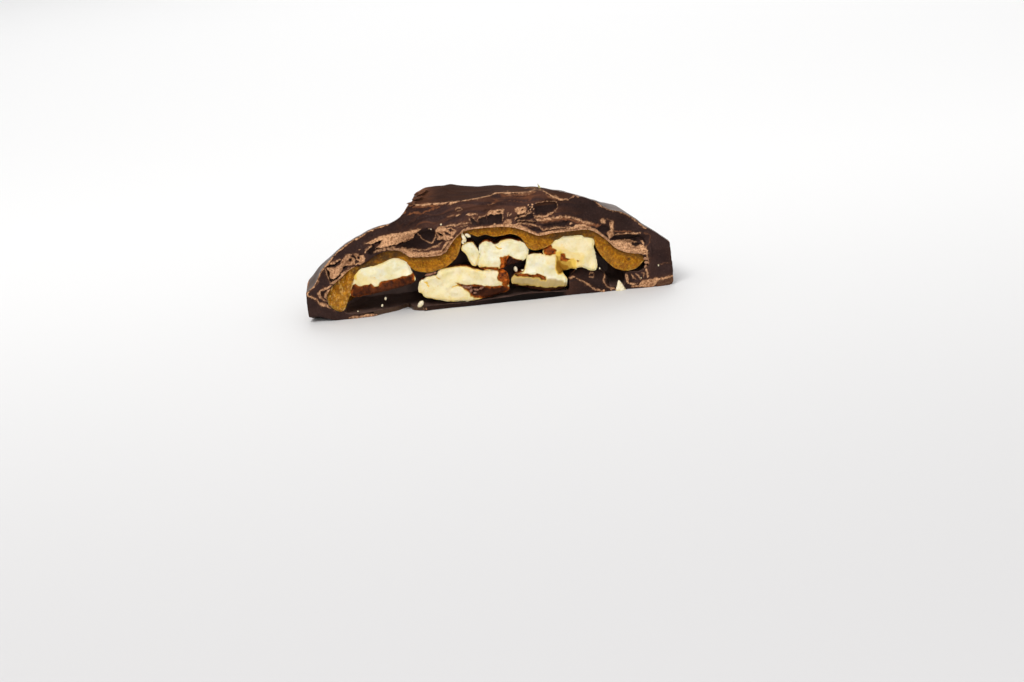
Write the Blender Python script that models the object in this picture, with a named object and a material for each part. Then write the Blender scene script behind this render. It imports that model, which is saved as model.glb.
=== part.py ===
"""Half of a round dark chocolate turtle, broken across its middle.

A domed chocolate shell on a flat base holds a draped layer of caramel, and under the caramel lie
six pieces of pecan with empty spaces between them. X runs along the broken face, which looks
towards -Y, and Z is up from the flat base. Outlines are drawn on the broken face in millimetres,
as (x, z), and depth is counted from that face towards the back. They were drawn on a sheet turned
a little against the base, which DRAWING_TILT puts right.
"""

import math

import bmesh
import bpy
import numpy as np

MM = 0.001

# Driving dimensions, in millimetres
DISC_RADIUS = 32.5
BASE_ROUNDING = 0.7
FIT_GAP = 0.3
CUTTER_REACH = 6.0
BLOCK_TOP = 26.0
CARAMEL_DEPTH = 24.5
PECAN_DEPTH = 8.6
SPACE_DEPTH = 10.4
PECAN_FRONT = 0.25
CARAMEL_FRONT = 0.1
DRAWING_TILT = math.radians(1.15)

# Height of the shell's outer skin along the broken face, if its top had not chipped away
SKIN_AT_BREAK = [
    (-34.0, 3.6), (-32.4, 5.1), (-30.8, 6.5), (-30.0, 7.7), (-28.7, 9.5), (-27.2, 11.1),
    (-25.0, 12.8), (-22.7, 14.05), (-20.3, 15.1), (-18.0, 15.8), (-16.9, 15.95), (-16.0, 16.3),
    (-15.0, 16.85), (-14.0, 17.85), (-12.9, 19.2), (-12.4, 19.3), (-11.9, 20.1), (-11.0, 20.4),
    (-10.0, 20.65), (-8.5, 20.8), (-6.4, 20.9), (-3.8, 20.35), (-1.0, 19.95), (3.3, 19.8),
    (6.8, 19.6), (9.2, 19.6), (10.5, 19.4), (12.0, 19.0), (14.0, 18.6), (17.0, 17.95),
    (19.8, 16.8), (21.2, 15.65), (22.6, 15.0), (24.0, 14.6), (25.3, 13.85), (26.6, 12.85),
    (27.8, 11.7), (28.7, 11.1), (30.0, 10.25), (31.75, 8.8), (34.0, 6.7),
]
# The dome behind the break: height over distance from the middle, to the left and to the right
LEFT_DOME = [
    (0.0, 20.6), (7.0, 20.4), (12.0, 18.9), (17.6, 16.2), (21.4, 14.7), (24.1, 13.3),
    (25.7, 12.4), (27.4, 11.1), (28.9, 9.9), (30.7, 8.6), (31.9, 7.3), (35.0, 4.7),
]
RIGHT_DOME = [
    (0.0, 20.6), (6.0, 20.1), (11.2, 19.2), (16.0, 17.7), (20.7, 16.0), (24.4, 13.8),
    (27.4, 11.45), (30.0, 9.15), (32.0, 7.7), (35.0, 5.4),
]
# How much lower than that the dome lies not far behind the break
DOME_FALL = [
    (-34.0, -0.3), (-26.0, -0.1), (-24.0, 0.1), (-22.5, 0.4), (-20.0, 0.9), (-18.0, 1.5),
    (-16.0, 1.9), (-14.0, 1.9), (-12.0, 1.4), (-10.0, 0.8), (-7.0, 0.4), (-3.0, 0.6),
    (2.0, 1.0), (6.0, 1.3), (9.0, 1.3), (12.0, 1.1), (15.0, 0.6), (17.0, 0.5), (19.0, 0.9),
    (21.0, 0.7), (22.5, 0.4), (24.0, 0.0), (34.0, 0.0),
]
# Front line of the chipped top, and how far back the chip reaches
CHIP_LINE = [
    (-13.0, 19.5), (-11.8, 18.9), (-9.4, 18.2), (-6.4, 18.3), (-3.7, 18.5), (-0.4, 19.4),
    (1.9, 19.7), (8.4, 19.7), (10.7, 19.4), (12.0, 18.4), (13.3, 17.7), (14.7, 17.6),
    (16.6, 18.0), (17.3, 17.9),
]
CHIP_DEPTH = [
    (-13.4, 0.2), (-12.7, 0.4), (-12.2, 1.6), (-11.8, 4.6), (-11.0, 5.6), (-9.0, 6.2),
    (-4.0, 6.5), (6.0, 6.0), (10.0, 4.4), (12.0, 3.8), (15.0, 2.6), (17.4, 0.3),
]

CARAMEL_TOP = [
    (-29.0, 2.9), (-28.8, 4.4), (-28.0, 5.5), (-26.6, 6.9), (-24.3, 8.5), (-21.9, 9.3),
    (-19.5, 10.7), (-17.1, 11.2), (-15.4, 11.0), (-13.9, 9.9), (-11.9, 9.6), (-8.9, 9.6),
    (-7.5, 9.9), (-6.4, 11.4), (-5.2, 12.7), (-3.8, 13.5), (-2.4, 13.8), (0.3, 13.9),
    (4.7, 13.5), (7.9, 12.2), (9.2, 11.6), (12.0, 11.9), (16.1, 12.0), (18.1, 11.9),
    (19.4, 11.2), (21.3, 9.6), (22.7, 8.1), (24.2, 7.3), (27.3, 6.5),
]
CARAMEL_UNDERSIDE = [
    (27.8, 5.8), (27.1, 5.0), (26.2, 4.2), (24.7, 3.8), (23.9, 3.9), (22.4, 4.4),
    (21.5, 5.2), (19.9, 7.0), (19.2, 8.2), (18.95, 9.3), (18.7, 10.3), (17.3, 10.6),
    (16.0, 10.9), (14.3, 11.0), (12.8, 10.7), (11.9, 10.5), (11.1, 10.0), (10.4, 9.4),
    (9.3, 9.0), (8.1, 9.0), (7.0, 9.7), (6.6, 10.7), (5.8, 11.7), (4.3, 12.3),
    (2.9, 12.1), (1.2, 12.1), (-0.1, 12.6), (-1.5, 12.3), (-2.6, 12.8), (-4.2, 12.1),
    (-4.7, 10.6), (-5.4, 9.1), (-6.4, 8.1), (-7.7, 7.3), (-9.1, 6.9), (-10.5, 6.6),
    (-11.7, 6.8), (-13.0, 7.2), (-13.8, 7.9), (-14.3, 8.9), (-15.4, 9.9), (-16.9, 10.0),
    (-18.5, 9.4), (-22.0, 8.6), (-23.4, 8.1), (-24.2, 7.0), (-24.6, 6.0), (-24.9, 4.4),
    (-25.4, 2.7), (-26.1, 1.3), (-26.7, 0.9), (-27.7, 1.2), (-28.7, 2.1),
]

# The empty space under the caramel: its floor on the base, then its roof inside the caramel
SPACE_FLOOR = [
    (-26.3, 1.0), (-25.6, 0.4), (-20.0, 0.4), (-14.0, 0.5), (-9.0, 0.6), (-4.0, 0.6),
    (0.0, 0.8), (3.5, 1.0), (6.0, 1.3), (10.0, 1.25), (13.8, 1.25),
]
SPACE_FLOOR_RIGHT = [
    (21.6, 1.2), (23.8, 1.2), (24.1, 2.8), (25.6, 2.5), (26.6, 2.1), (27.8, 2.3), (28.3, 3.5),
]
SPACE_ROOF = [
    (28.0, 4.8), (27.7, 5.9), (26.3, 5.0), (24.5, 4.6), (22.7, 5.2), (20.5, 7.6),
    (19.4, 9.4), (19.0, 11.0), (16.0, 11.4), (12.6, 11.2), (11.0, 10.7), (9.6, 10.0),
    (7.9, 10.1), (7.2, 11.2), (6.2, 12.4), (4.0, 12.9), (-2.0, 13.2), (-4.4, 12.8),
    (-5.4, 10.8), (-6.8, 8.9), (-9.0, 7.7), (-11.6, 7.5), (-13.1, 8.2), (-13.9, 9.2),
    (-15.2, 10.5), (-17.0, 10.6), (-21.8, 9.0), (-24.0, 8.1), (-25.0, 6.8), (-25.6, 4.2),
    (-26.2, 2.2),
]
# A lump of chocolate stands on the base: the crease at its foot, and its top further back
LUMP_FOOT = [(14.1, 3.2), (15.1, 3.3), (16.4, 2.6), (17.6, 1.8), (18.8, 1.3), (20.2, 1.2)]
LUMP_TOP = [(14.1, 3.7), (15.1, 4.3), (16.4, 4.7), (17.8, 4.4), (19.6, 4.2), (20.9, 3.6)]
LUMP_SLOPE = 2.2

PECAN_OUTLINES = {
    "pecan_left": [
        (-24.0, 6.3), (-23.4, 7.3), (-22.6, 8.0), (-20.8, 8.3), (-18.6, 8.8), (-17.4, 9.4),
        (-16.2, 9.4), (-14.7, 8.8), (-14.0, 7.6), (-13.6, 6.4), (-13.8, 5.1), (-15.9, 4.7),
        (-18.6, 4.4), (-21.3, 4.1), (-24.2, 3.6), (-24.3, 4.8),
    ],
    "pecan_lower": [
        (-12.6, 3.5), (-12.4, 4.3), (-11.9, 5.0), (-10.9, 5.6), (-9.3, 6.0), (-8.5, 6.5),
        (-7.1, 6.8), (-4.3, 7.0), (-2.4, 6.5), (-0.4, 5.85), (1.7, 5.75), (2.7, 5.6),
        (3.3, 4.6), (3.3, 3.3), (3.1, 2.2), (1.6, 1.7), (-0.2, 1.3), (-2.0, 1.05),
        (-3.5, 1.0), (-5.6, 1.0), (-8.2, 1.4), (-10.2, 2.0), (-11.5, 2.4),
    ],
    "pecan_small": [
        (-4.2, 10.8), (-3.5, 11.2), (-2.3, 11.1), (-2.0, 10.0), (-1.65, 9.2), (-1.75, 8.4),
        (-2.1, 7.3), (-2.7, 7.4), (-3.2, 7.9), (-3.6, 9.3), (-4.1, 10.1),
    ],
    "pecan_upper": [
        (-1.1, 10.6), (-0.5, 11.0), (0.7, 10.9), (1.5, 10.3), (2.7, 10.6), (4.6, 11.0),
        (5.9, 10.6), (6.5, 9.9), (6.7, 8.8), (6.5, 8.0), (6.0, 7.4), (4.9, 7.0),
        (3.4, 6.6), (1.9, 6.35), (1.0, 6.2), (-0.4, 6.3), (-1.1, 6.8), (-1.3, 7.6),
        (-1.25, 8.5),
    ],
    "pecan_mid": [
        (7.4, 7.8), (8.3, 8.1), (10.2, 7.7), (11.7, 7.5), (12.0, 6.7), (12.4, 5.4),
        (12.9, 4.6), (13.4, 3.4), (13.2, 2.2), (12.7, 1.65), (10.1, 1.65), (7.9, 2.2),
        (5.8, 2.8), (4.5, 3.4), (3.8, 4.0), (4.3, 4.5), (5.4, 4.8), (6.0, 5.5),
        (6.7, 6.1), (7.1, 7.0),
    ],
    "pecan_right": [
        (12.0, 10.1), (13.0, 10.3), (14.3, 10.6), (16.0, 10.5), (17.0, 10.1), (18.2, 9.95),
        (18.4, 9.0), (18.6, 7.1), (18.8, 5.1), (18.0, 5.0), (16.8, 5.15), (16.1, 5.6),
        (15.2, 5.3), (13.9, 5.1), (13.1, 5.5), (12.7, 6.3), (12.5, 7.4), (11.6, 8.1),
        (10.5, 8.9), (11.2, 9.4),
    ],
}
PECAN_POINTS = 30
CARAMEL_POINTS = 88

# Sections along the depth: the caramel's and the space's by depth, a pecan's by share of its depth
CARAMEL_SECTIONS = (3.0, 6.5, 10.0, 13.5, 17.0, 20.0, 22.5, CARAMEL_DEPTH)
SPACE_SECTIONS = (0.3, 1.4, LUMP_SLOPE + 0.3, 5.5, 8.4, SPACE_DEPTH)
PECAN_SECTIONS = (0.0, 0.04, 0.3, 0.55, 0.78, 0.93, 1.0)
OPEN_FRONT = -3.0
# The space keeps its outline down to this depth, then draws in a little to its back wall
SPACE_STRAIGHT = 6.0
SPACE_MIDDLE_HEIGHT = 4.0
# The caramel would come to a point this far behind its flat back end
CARAMEL_POINT_BEYOND = 4.0
CARAMEL_FLATTENING = 0.42

# Soft-edged forms on the broken face: x, z, half width, half height, tilt in degrees, and how
# far each is sunk. A minus stands proud.
BREAK_FORMS = [
    (-16.4, 13.1, 5.4, 1.0, 10, -0.55),
    (-11.2, 12.1, 4.2, 1.8, -2, 1.1),
    (-26.9, 8.6, 1.9, 1.7, 35, -0.5),
    (-24.0, 9.4, 2.6, 0.9, 35, 0.45),
    (24.9, 11.0, 3.4, 0.9, -14, -0.4),
    (24.8, 9.7, 2.6, 0.7, -8, 0.55),
    (4.8, 16.4, 4.2, 1.1, 5, -0.4),
    (11.0, 16.5, 2.4, 1.2, 12, 0.4),
    (-1.8, 15.4, 1.3, 0.9, -30, -0.45),
    (-5.8, 12.8, 2.6, 1.2, 42, -0.35),
    (28.6, 1.4, 3.6, 1.2, 4, -0.3),
    (-6.0, 16.2, 9.0, 0.9, 8, 0.3),
]
LEDGE_PROUD = 0.4
LEDGE_HEIGHT = 1.1

# Plan of the notch that is broken out of the base's front edge, as (x, depth)
BASE_NOTCH = [
    (-21.4, -CUTTER_REACH), (-21.0, 0.2), (-19.0, 1.4), (-16.8, 2.6), (-15.0, 4.6),
    (-13.9, 1.6), (-12.0, 0.2), (-11.8, -CUTTER_REACH),
]
NOTCH_HEIGHTS = (-1.0, 1.4)
# Bevel off the left bottom corner: its profile, and its height at depths
CORNER_CHIP = [(-35.0, -1.5), (-35.0, 1.3), (-30.8, 1.2), (-27.6, -0.1), (-27.6, -1.5)]
CORNER_CHIP_HEIGHTS = [(-CUTTER_REACH - 1, 1.2), (0.6, 1.1), (4.5, -0.4)]

# The disc's upright side: how far it stands in from the round outline at each height
SIDE_WALL = [
    (0.0, BASE_ROUNDING), (0.2, 0.3), (BASE_ROUNDING, 0.0), (3.2, -0.05), (6.0, 0.02),
    (BLOCK_TOP, 0.0),
]
WALL_SEGMENTS = 46
# How far behind the break the skin's height has come over to the plain dome's
DOME_EASING = 6.0
# The dome's fall is whole down to the first depth and fades out over the second
FALL_DEPTH = 6.0
FALL_FADING = 16.0
RIM_FADING = 3.0


def levelled(points):
    """The drawn points turned so that the base's underside runs level."""
    turn, rise = math.cos(DRAWING_TILT), math.sin(DRAWING_TILT)
    return [(x * turn + z * rise, z * turn - x * rise) for x, z in points]


def drawn(x, z):
    """Where a place on the broken face lies on the drawing sheet: the way back from levelled."""
    turn, rise = math.cos(DRAWING_TILT), math.sin(DRAWING_TILT)
    return x * turn - z * rise, z * turn + x * rise


def curve_through(points, closed=False, steps=8):
    """Points along a smooth curve through the given ones, by centripetal Catmull-Rom."""
    given = np.array(points, float)
    count = len(given)
    if closed:
        padded = np.vstack([given[-1], given, given[0], given[1]])
    else:
        padded = np.vstack([2 * given[0] - given[1], given, 2 * given[-1] - given[-2]])
    spans = count if closed else count - 1
    found = []
    for i in range(spans):
        p0, p1, p2, p3 = padded[i : i + 4]
        t1 = math.sqrt(np.linalg.norm(p1 - p0))
        t2 = t1 + math.sqrt(np.linalg.norm(p2 - p1))
        t3 = t2 + math.sqrt(np.linalg.norm(p3 - p2))
        for t in np.linspace(t1, t2, steps, endpoint=False):
            a1 = (t1 - t) / t1 * p0 + t / t1 * p1
            a2 = (t2 - t) / (t2 - t1) * p1 + (t - t1) / (t2 - t1) * p2
            a3 = (t3 - t) / (t3 - t2) * p2 + (t - t2) / (t3 - t2) * p3
            b1 = (t2 - t) / t2 * a1 + t / t2 * a2
            b2 = (t3 - t) / (t3 - t1) * a2 + (t - t1) / (t3 - t1) * a3
            found.append((t2 - t) / (t2 - t1) * b1 + (t - t1) / (t2 - t1) * b2)
    if not closed:
        found.append(given[-1])
    return np.array(found)


def even_loop(points, count):
    """The closed curve through the points, as count points an equal way apart."""
    fine = curve_through(levelled(points), closed=True)
    fine = np.vstack([fine, fine[0]])
    along = np.concatenate([[0], np.cumsum(np.linalg.norm(np.diff(fine, axis=0), axis=1))])
    wanted = np.linspace(0, along[-1], count, endpoint=False)
    return np.column_stack([np.interp(wanted, along, fine[:, k]) for k in (0, 1)])


def widened(loop, distance):
    """The loop moved outwards by the distance. It runs clockwise, seen from the front."""
    along = np.roll(loop, -1, axis=0) - np.roll(loop, 1, axis=0)
    along /= np.linalg.norm(along, axis=1)[:, None]
    return loop + distance * np.column_stack([-along[:, 1], along[:, 0]])


def height_over(points):
    """A function that reads the smooth curve's second value at a first value."""
    fine = curve_through(points)
    return lambda value: np.interp(value, fine[:, 0], fine[:, 1])


def smooth_step(value):
    value = np.clip(value, 0, 1)
    return value * value * (3 - 2 * value)


skin_at_break = height_over(levelled(SKIN_AT_BREAK))
left_dome = height_over(LEFT_DOME)
right_dome = height_over(RIGHT_DOME)
chip_line = height_over(levelled(CHIP_LINE))
chip_depth = height_over(CHIP_DEPTH)
dome_fall = height_over(DOME_FALL)
caramel_top = height_over(levelled(CARAMEL_TOP))


def skin_height(x, depth):
    """Height of the shell's top at a place, with the chip at the front taken out of the dome."""
    back = max(depth, 0.0)
    out = math.hypot(x, back)
    rightness = 0.5 + 0.5 * x / out if out > 0.01 else 0.5
    dome = rightness * right_dome(out) + (1 - rightness) * left_dome(out)
    pecans_under = 0.5 * math.sin(0.31 * x + 0.9) * math.sin(0.27 * back + 0.4)
    pecans_under += 0.2 * math.sin(0.62 * x - 0.38 * back + 1.7)
    dome += pecans_under * smooth_step((DISC_RADIUS - 1.5 - out) / 12.0)
    near_break = 1 - smooth_step((back - FALL_DEPTH) / FALL_FADING)
    dome -= dome_fall(x) * near_break * smooth_step((DISC_RADIUS - 0.5 - out) / RIM_FADING)
    in_chip = CHIP_LINE[0][0] < x < CHIP_LINE[-1][0]
    chip_back = chip_depth(x) if in_chip else 0.0
    to_dome = smooth_step((back - chip_back) / DOME_EASING)
    height = (1 - to_dome) * skin_at_break(x) + to_dome * dome
    if in_chip and back < chip_back:
        rise = smooth_step(back / chip_back) ** 0.8
        height = min(height, chip_line(x) + (height - chip_line(x)) * rise)
    return height


def break_relief(x, z):
    """Depth of the broken face at a place. The face is nearly flat away from its forms."""
    above = (z - caramel_top(x) - 0.6) / LEDGE_HEIGHT
    x, z = drawn(x, z)
    depth = 0.12 * math.sin(0.55 * x + 0.8 * z) + 0.08 * math.sin(1.3 * z - 0.35 * x)
    for form_x, form_z, half_width, half_height, tilt, sunk in BREAK_FORMS:
        turn = math.radians(tilt)
        along = (x - form_x) * math.cos(turn) + (z - form_z) * math.sin(turn)
        across = (z - form_z) * math.cos(turn) - (x - form_x) * math.sin(turn)
        off = math.hypot(along / half_width, across / half_height)
        depth += sunk * smooth_step((1.25 - off) / 0.5)
    if abs(x) < 29:
        depth -= LEDGE_PROUD * math.exp(-above * above)
    return depth


def add_object(name, bm):
    """Closes the bmesh's work and puts it in the scene as a smooth-shaded object."""
    bmesh.ops.recalc_face_normals(bm, faces=bm.faces)
    mesh = bpy.data.meshes.new(name)
    bm.to_mesh(mesh)
    bm.free()
    obj = bpy.data.objects.new(name, mesh)
    bpy.context.scene.collection.objects.link(obj)
    return obj


def field_block(name, firsts, seconds, field, flat, place):
    """A block with one face shaped by field over a grid, and the opposite face flat."""
    bm = bmesh.new()
    grid = [[bm.verts.new(place(a, b, field(a, b))) for b in seconds] for a in firsts]
    ends = ((firsts[0], seconds[0]), (firsts[-1], seconds[0]))
    ends += ((firsts[-1], seconds[-1]), (firsts[0], seconds[-1]))
    corners = [bm.verts.new(place(a, b, flat)) for a, b in ends]
    for near, far in zip(grid, grid[1:]):
        for j in range(len(seconds) - 1):
            bm.faces.new((near[j], far[j], far[j + 1], near[j + 1]))
    bm.faces.new([row[0] for row in grid] + [corners[1], corners[0]])
    bm.faces.new(grid[-1] + [corners[2], corners[1]])
    bm.faces.new([row[-1] for row in reversed(grid)] + [corners[3], corners[2]])
    bm.faces.new(list(reversed(grid[0])) + [corners[0], corners[3]])
    bm.faces.new(corners)
    return add_object(name, bm)


def loft(name, sections):
    """A closed body through sections of equally many points, with flat ends."""
    bm = bmesh.new()
    rings = [[bm.verts.new([value * MM for value in point]) for point in ring] for ring in sections]
    count = len(rings[0])
    for near, far in zip(rings, rings[1:]):
        for i in range(count):
            after = (i + 1) % count
            bm.faces.new((near[i], near[after], far[after], far[i]))
    bm.faces.new(rings[0])
    bm.faces.new(list(reversed(rings[-1])))
    return add_object(name, bm)


def as_cutter(obj):
    obj.hide_render = True
    obj.display_type = "WIRE"
    return obj


def cut(obj, cutter, operation="DIFFERENCE"):
    """Applies one Boolean and takes the cutter out of the scene."""
    as_cutter(cutter)
    step = obj.modifiers.new("shape", "BOOLEAN")
    step.object = cutter
    step.operation = operation
    step.solver = "EXACT"
    graph = bpy.context.evaluated_depsgraph_get()
    shaped = bpy.data.meshes.new_from_object(obj.evaluated_get(graph))
    obj.modifiers.clear()
    obj.data = shaped
    bpy.data.objects.remove(cutter)


def disc_radius(angle):
    """Radius of the round outline, a little uneven towards the back."""
    behind = math.sin(angle) ** 2
    return DISC_RADIUS + behind * (0.35 * math.sin(2 * angle + 0.6) + 0.2 * math.sin(5 * angle))


def make_disc():
    """The upright side wall and flat base, as tall as the block and open to nothing."""
    angles = np.linspace(0, math.pi, WALL_SEGMENTS + 1)
    sections = []
    for height, inset in SIDE_WALL:
        radii = [disc_radius(angle) - inset for angle in angles]
        ring = [(radii[0], -CUTTER_REACH, height)]
        ring += [
            (radius * math.cos(angle), radius * math.sin(angle), height)
            for radius, angle in zip(radii, angles)
        ]
        ring.append((-radii[-1], -CUTTER_REACH, height))
        sections.append(ring)
    return loft("chocolate_shell", sections)


def make_dome_block():
    """A block whose top is the shell's outer skin, close-meshed where the top is chipped."""
    across = np.concatenate([
        np.arange(-35, -14, 1.75), np.arange(-14, 18, 1.15), np.arange(18, 35.1, 1.6),
    ])
    back = np.concatenate([
        [-CUTTER_REACH - 2, -0.8], np.arange(0, 8, 1.1), np.arange(8.6, 34, 1.8), [36],
    ])
    return field_block(
        "dome_block", across, back, skin_height, -CUTTER_REACH,
        lambda x, depth, z: (x * MM, depth * MM, z * MM),
    )


def make_break_block():
    """A block in front whose back is the broken face."""
    across = np.arange(-34.5, 34.6, 1.15)
    upright = np.arange(-1.2, 23.2, 1.05)
    return field_block(
        "break_block", across, upright, break_relief, -CUTTER_REACH - 4,
        lambda x, z, depth: (x * MM, depth * MM, z * MM),
    )


def make_base_notch():
    """A cutter for the notch, which goes right through the thin base."""
    return loft("base_notch", [[(x, depth, z) for x, depth in BASE_NOTCH] for z in NOTCH_HEIGHTS])


def make_corner_chip():
    """A cutter for the bevel broken off the left bottom corner, running out towards the back."""
    sections = []
    for depth, height in CORNER_CHIP_HEIGHTS:
        sections.append([(x, depth, min(z, height)) for x, z in CORNER_CHIP])
    return loft("corner_chip", sections)


def caramel_sections(front, gap=0.0):
    """The caramel's outline at depths from front to back, drawn in towards the back of the dome."""
    outline = even_loop(CARAMEL_TOP + CARAMEL_UNDERSIDE, CARAMEL_POINTS)
    sections = []
    for depth in (front, *CARAMEL_SECTIONS):
        share = max(depth, 0.0) / (CARAMEL_DEPTH + CARAMEL_POINT_BEYOND)
        narrow = math.sqrt(1 - share**2)
        low = 1 - CARAMEL_FLATTENING * share**2
        loop = np.array([(x * narrow, 1 + (z - 1) * low) for x, z in outline])
        sections.append([(x, depth, z) for x, z in widened(loop, gap)])
    return sections


def make_caramel():
    return loft("caramel", caramel_sections(CARAMEL_FRONT))


def make_caramel_pocket():
    """The caramel's own form with the fit gap round it, open through the broken face."""
    sections = caramel_sections(OPEN_FRONT, FIT_GAP)
    sections.append([(x, depth + FIT_GAP, z) for x, depth, z in sections[-1]])
    return loft("caramel_pocket", sections)


def make_space():
    """The empty space round the pecans, from in front of the break to its back wall."""
    sections = []
    for depth in (OPEN_FRONT, *SPACE_SECTIONS):
        up_lump = smooth_step(depth / LUMP_SLOPE)
        lump = [
            (foot_x, (1 - up_lump) * foot_z + up_lump * top_z)
            for (foot_x, foot_z), (_, top_z) in zip(LUMP_FOOT, LUMP_TOP)
        ]
        ring = SPACE_FLOOR + lump + SPACE_FLOOR_RIGHT + SPACE_ROOF
        past = max(depth - SPACE_STRAIGHT, 0.0) / (SPACE_DEPTH - SPACE_STRAIGHT)
        narrow = 1 - 0.1 * past**2
        low = 1 - 0.2 * past**2
        middle = SPACE_MIDDLE_HEIGHT
        sections.append([(x * narrow, depth, middle + (z - middle) * low) for x, z in levelled(ring)])
    return loft("space", sections)


def make_pecan(name, outline):
    """A piece of pecan: its broken outline at the front, rounding off towards the back."""
    loop = even_loop(outline, PECAN_POINTS)
    middle = loop.mean(axis=0)
    sections = []
    for share in PECAN_SECTIONS:
        depth = PECAN_FRONT + share * PECAN_DEPTH
        size = math.sqrt(1 - (0.96 * share) ** 2) if share > 0.1 else 0.985 + 0.3 * share
        sections.append([(x, depth, z) for x, z in middle + (loop - middle) * size])
    return loft(name, sections)


def make_material(name, colour, roughness, metallic=0.0):
    material = bpy.data.materials.new(name)
    material.use_nodes = True
    shader = material.node_tree.nodes["Principled BSDF"]
    shader.inputs["Base Color"].default_value = (*colour, 1.0)
    shader.inputs["Roughness"].default_value = roughness
    shader.inputs["Metallic"].default_value = metallic
    return material


def make_shell():
    shell = make_disc()
    cut(shell, make_base_notch())
    cut(shell, make_corner_chip())
    cut(shell, make_dome_block(), "INTERSECT")
    cut(shell, make_break_block())
    cut(shell, make_caramel_pocket())
    cut(shell, make_space())
    return shell


def centre_on_base(objects):
    """Moves all the pieces alike, so that the origin is under the middle of the whole."""
    corners = np.array([vertex.co[:] for obj in objects for vertex in obj.data.vertices])
    low, high = corners.min(axis=0), corners.max(axis=0)
    middle = ((low[0] + high[0]) / 2, (low[1] + high[1]) / 2, low[2])
    for obj in objects:
        obj.location = [-value for value in middle]


def main():
    for obj in list(bpy.data.objects):
        bpy.data.objects.remove(obj)
    shell = make_shell()
    caramel = make_caramel()
    pecans = [make_pecan(name, outline) for name, outline in PECAN_OUTLINES.items()]

    shell.data.materials.clear()
    shell.data.materials.append(make_material("dark_chocolate", (0.055, 0.029, 0.018), 0.42))
    caramel.data.materials.append(make_material("caramel", (0.38, 0.15, 0.02), 0.28))
    pecan_flesh = make_material("pecan_flesh", (0.80, 0.68, 0.40), 0.6)
    for pecan in pecans:
        pecan.data.materials.append(pecan_flesh)

    pieces = [shell, caramel, *pecans]
    for piece in pieces:
        piece.data.shade_smooth()
        piece.data.set_sharp_from_angle(angle=math.radians(35))
    centre_on_base(pieces)


main()
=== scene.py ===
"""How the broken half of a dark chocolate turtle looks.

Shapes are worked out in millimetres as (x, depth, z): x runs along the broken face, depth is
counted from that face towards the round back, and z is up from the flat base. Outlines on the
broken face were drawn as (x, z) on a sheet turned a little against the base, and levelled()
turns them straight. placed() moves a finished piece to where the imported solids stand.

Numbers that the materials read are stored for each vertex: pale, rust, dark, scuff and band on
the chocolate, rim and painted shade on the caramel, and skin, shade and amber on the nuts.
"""

import itertools
import math

import bmesh
import bpy
import numpy as np
from mathutils import Matrix, Vector


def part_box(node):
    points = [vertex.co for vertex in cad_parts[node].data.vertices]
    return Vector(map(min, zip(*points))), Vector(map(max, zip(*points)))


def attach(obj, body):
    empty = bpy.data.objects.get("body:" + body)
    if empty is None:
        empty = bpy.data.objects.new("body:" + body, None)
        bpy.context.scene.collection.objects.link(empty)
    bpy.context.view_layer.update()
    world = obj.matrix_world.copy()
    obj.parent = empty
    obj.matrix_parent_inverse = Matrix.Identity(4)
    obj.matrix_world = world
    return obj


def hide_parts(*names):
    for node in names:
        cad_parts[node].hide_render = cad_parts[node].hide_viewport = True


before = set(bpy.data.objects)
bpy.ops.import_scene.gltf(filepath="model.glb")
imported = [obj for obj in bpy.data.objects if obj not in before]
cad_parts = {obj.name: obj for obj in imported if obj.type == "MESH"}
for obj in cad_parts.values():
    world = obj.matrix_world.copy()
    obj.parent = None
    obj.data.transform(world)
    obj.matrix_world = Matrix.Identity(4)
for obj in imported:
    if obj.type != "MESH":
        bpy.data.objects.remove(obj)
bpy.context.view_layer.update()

MM = 0.001
DRAWING_TILT = math.radians(1.15)
DISC_RADIUS = 32.5
BLOCK_TOP = 26.0
OUT_OF_THE_WAY = 6.0
FAR = 9e9
ON_SURFACE = 0.03
BREAK_STEP = 0.13
CARAMEL_STEP = 0.16
NUT_STEP = 0.12
NUT_SIDES = 200
BROKEN, MOULDED, HOLLOW = range(3)
CARAMEL_LEFT, CARAMEL_RIGHT = -29, 27
CARAMEL_DEPTH = 24.5
CARAMEL_FRONT = 0.1
PECAN_DEPTH = 8.6
PECAN_FRONT = 0.25
SPACE_DEPTH = 10.4
BREAK_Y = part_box("caramel")[0].y - CARAMEL_FRONT * MM

# Camera: the photograph's angle, and where a point on the broken face falls in its frame
PHOTO_WIDTH, PHOTO_HEIGHT = 1024, 682
LENS_MM = 85.0
SENSOR_MM = 36.0
CAMERA_DISTANCE = 0.4275
CAMERA_ELEVATION = math.radians(12.0)
CAMERA_ROLL = math.radians(6.15)
AIMED_HEIGHT = 0.008
AIMED_PIXEL = (487.1, 259.9)
SEEN_RISE = math.tan(CAMERA_ELEVATION)

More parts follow.
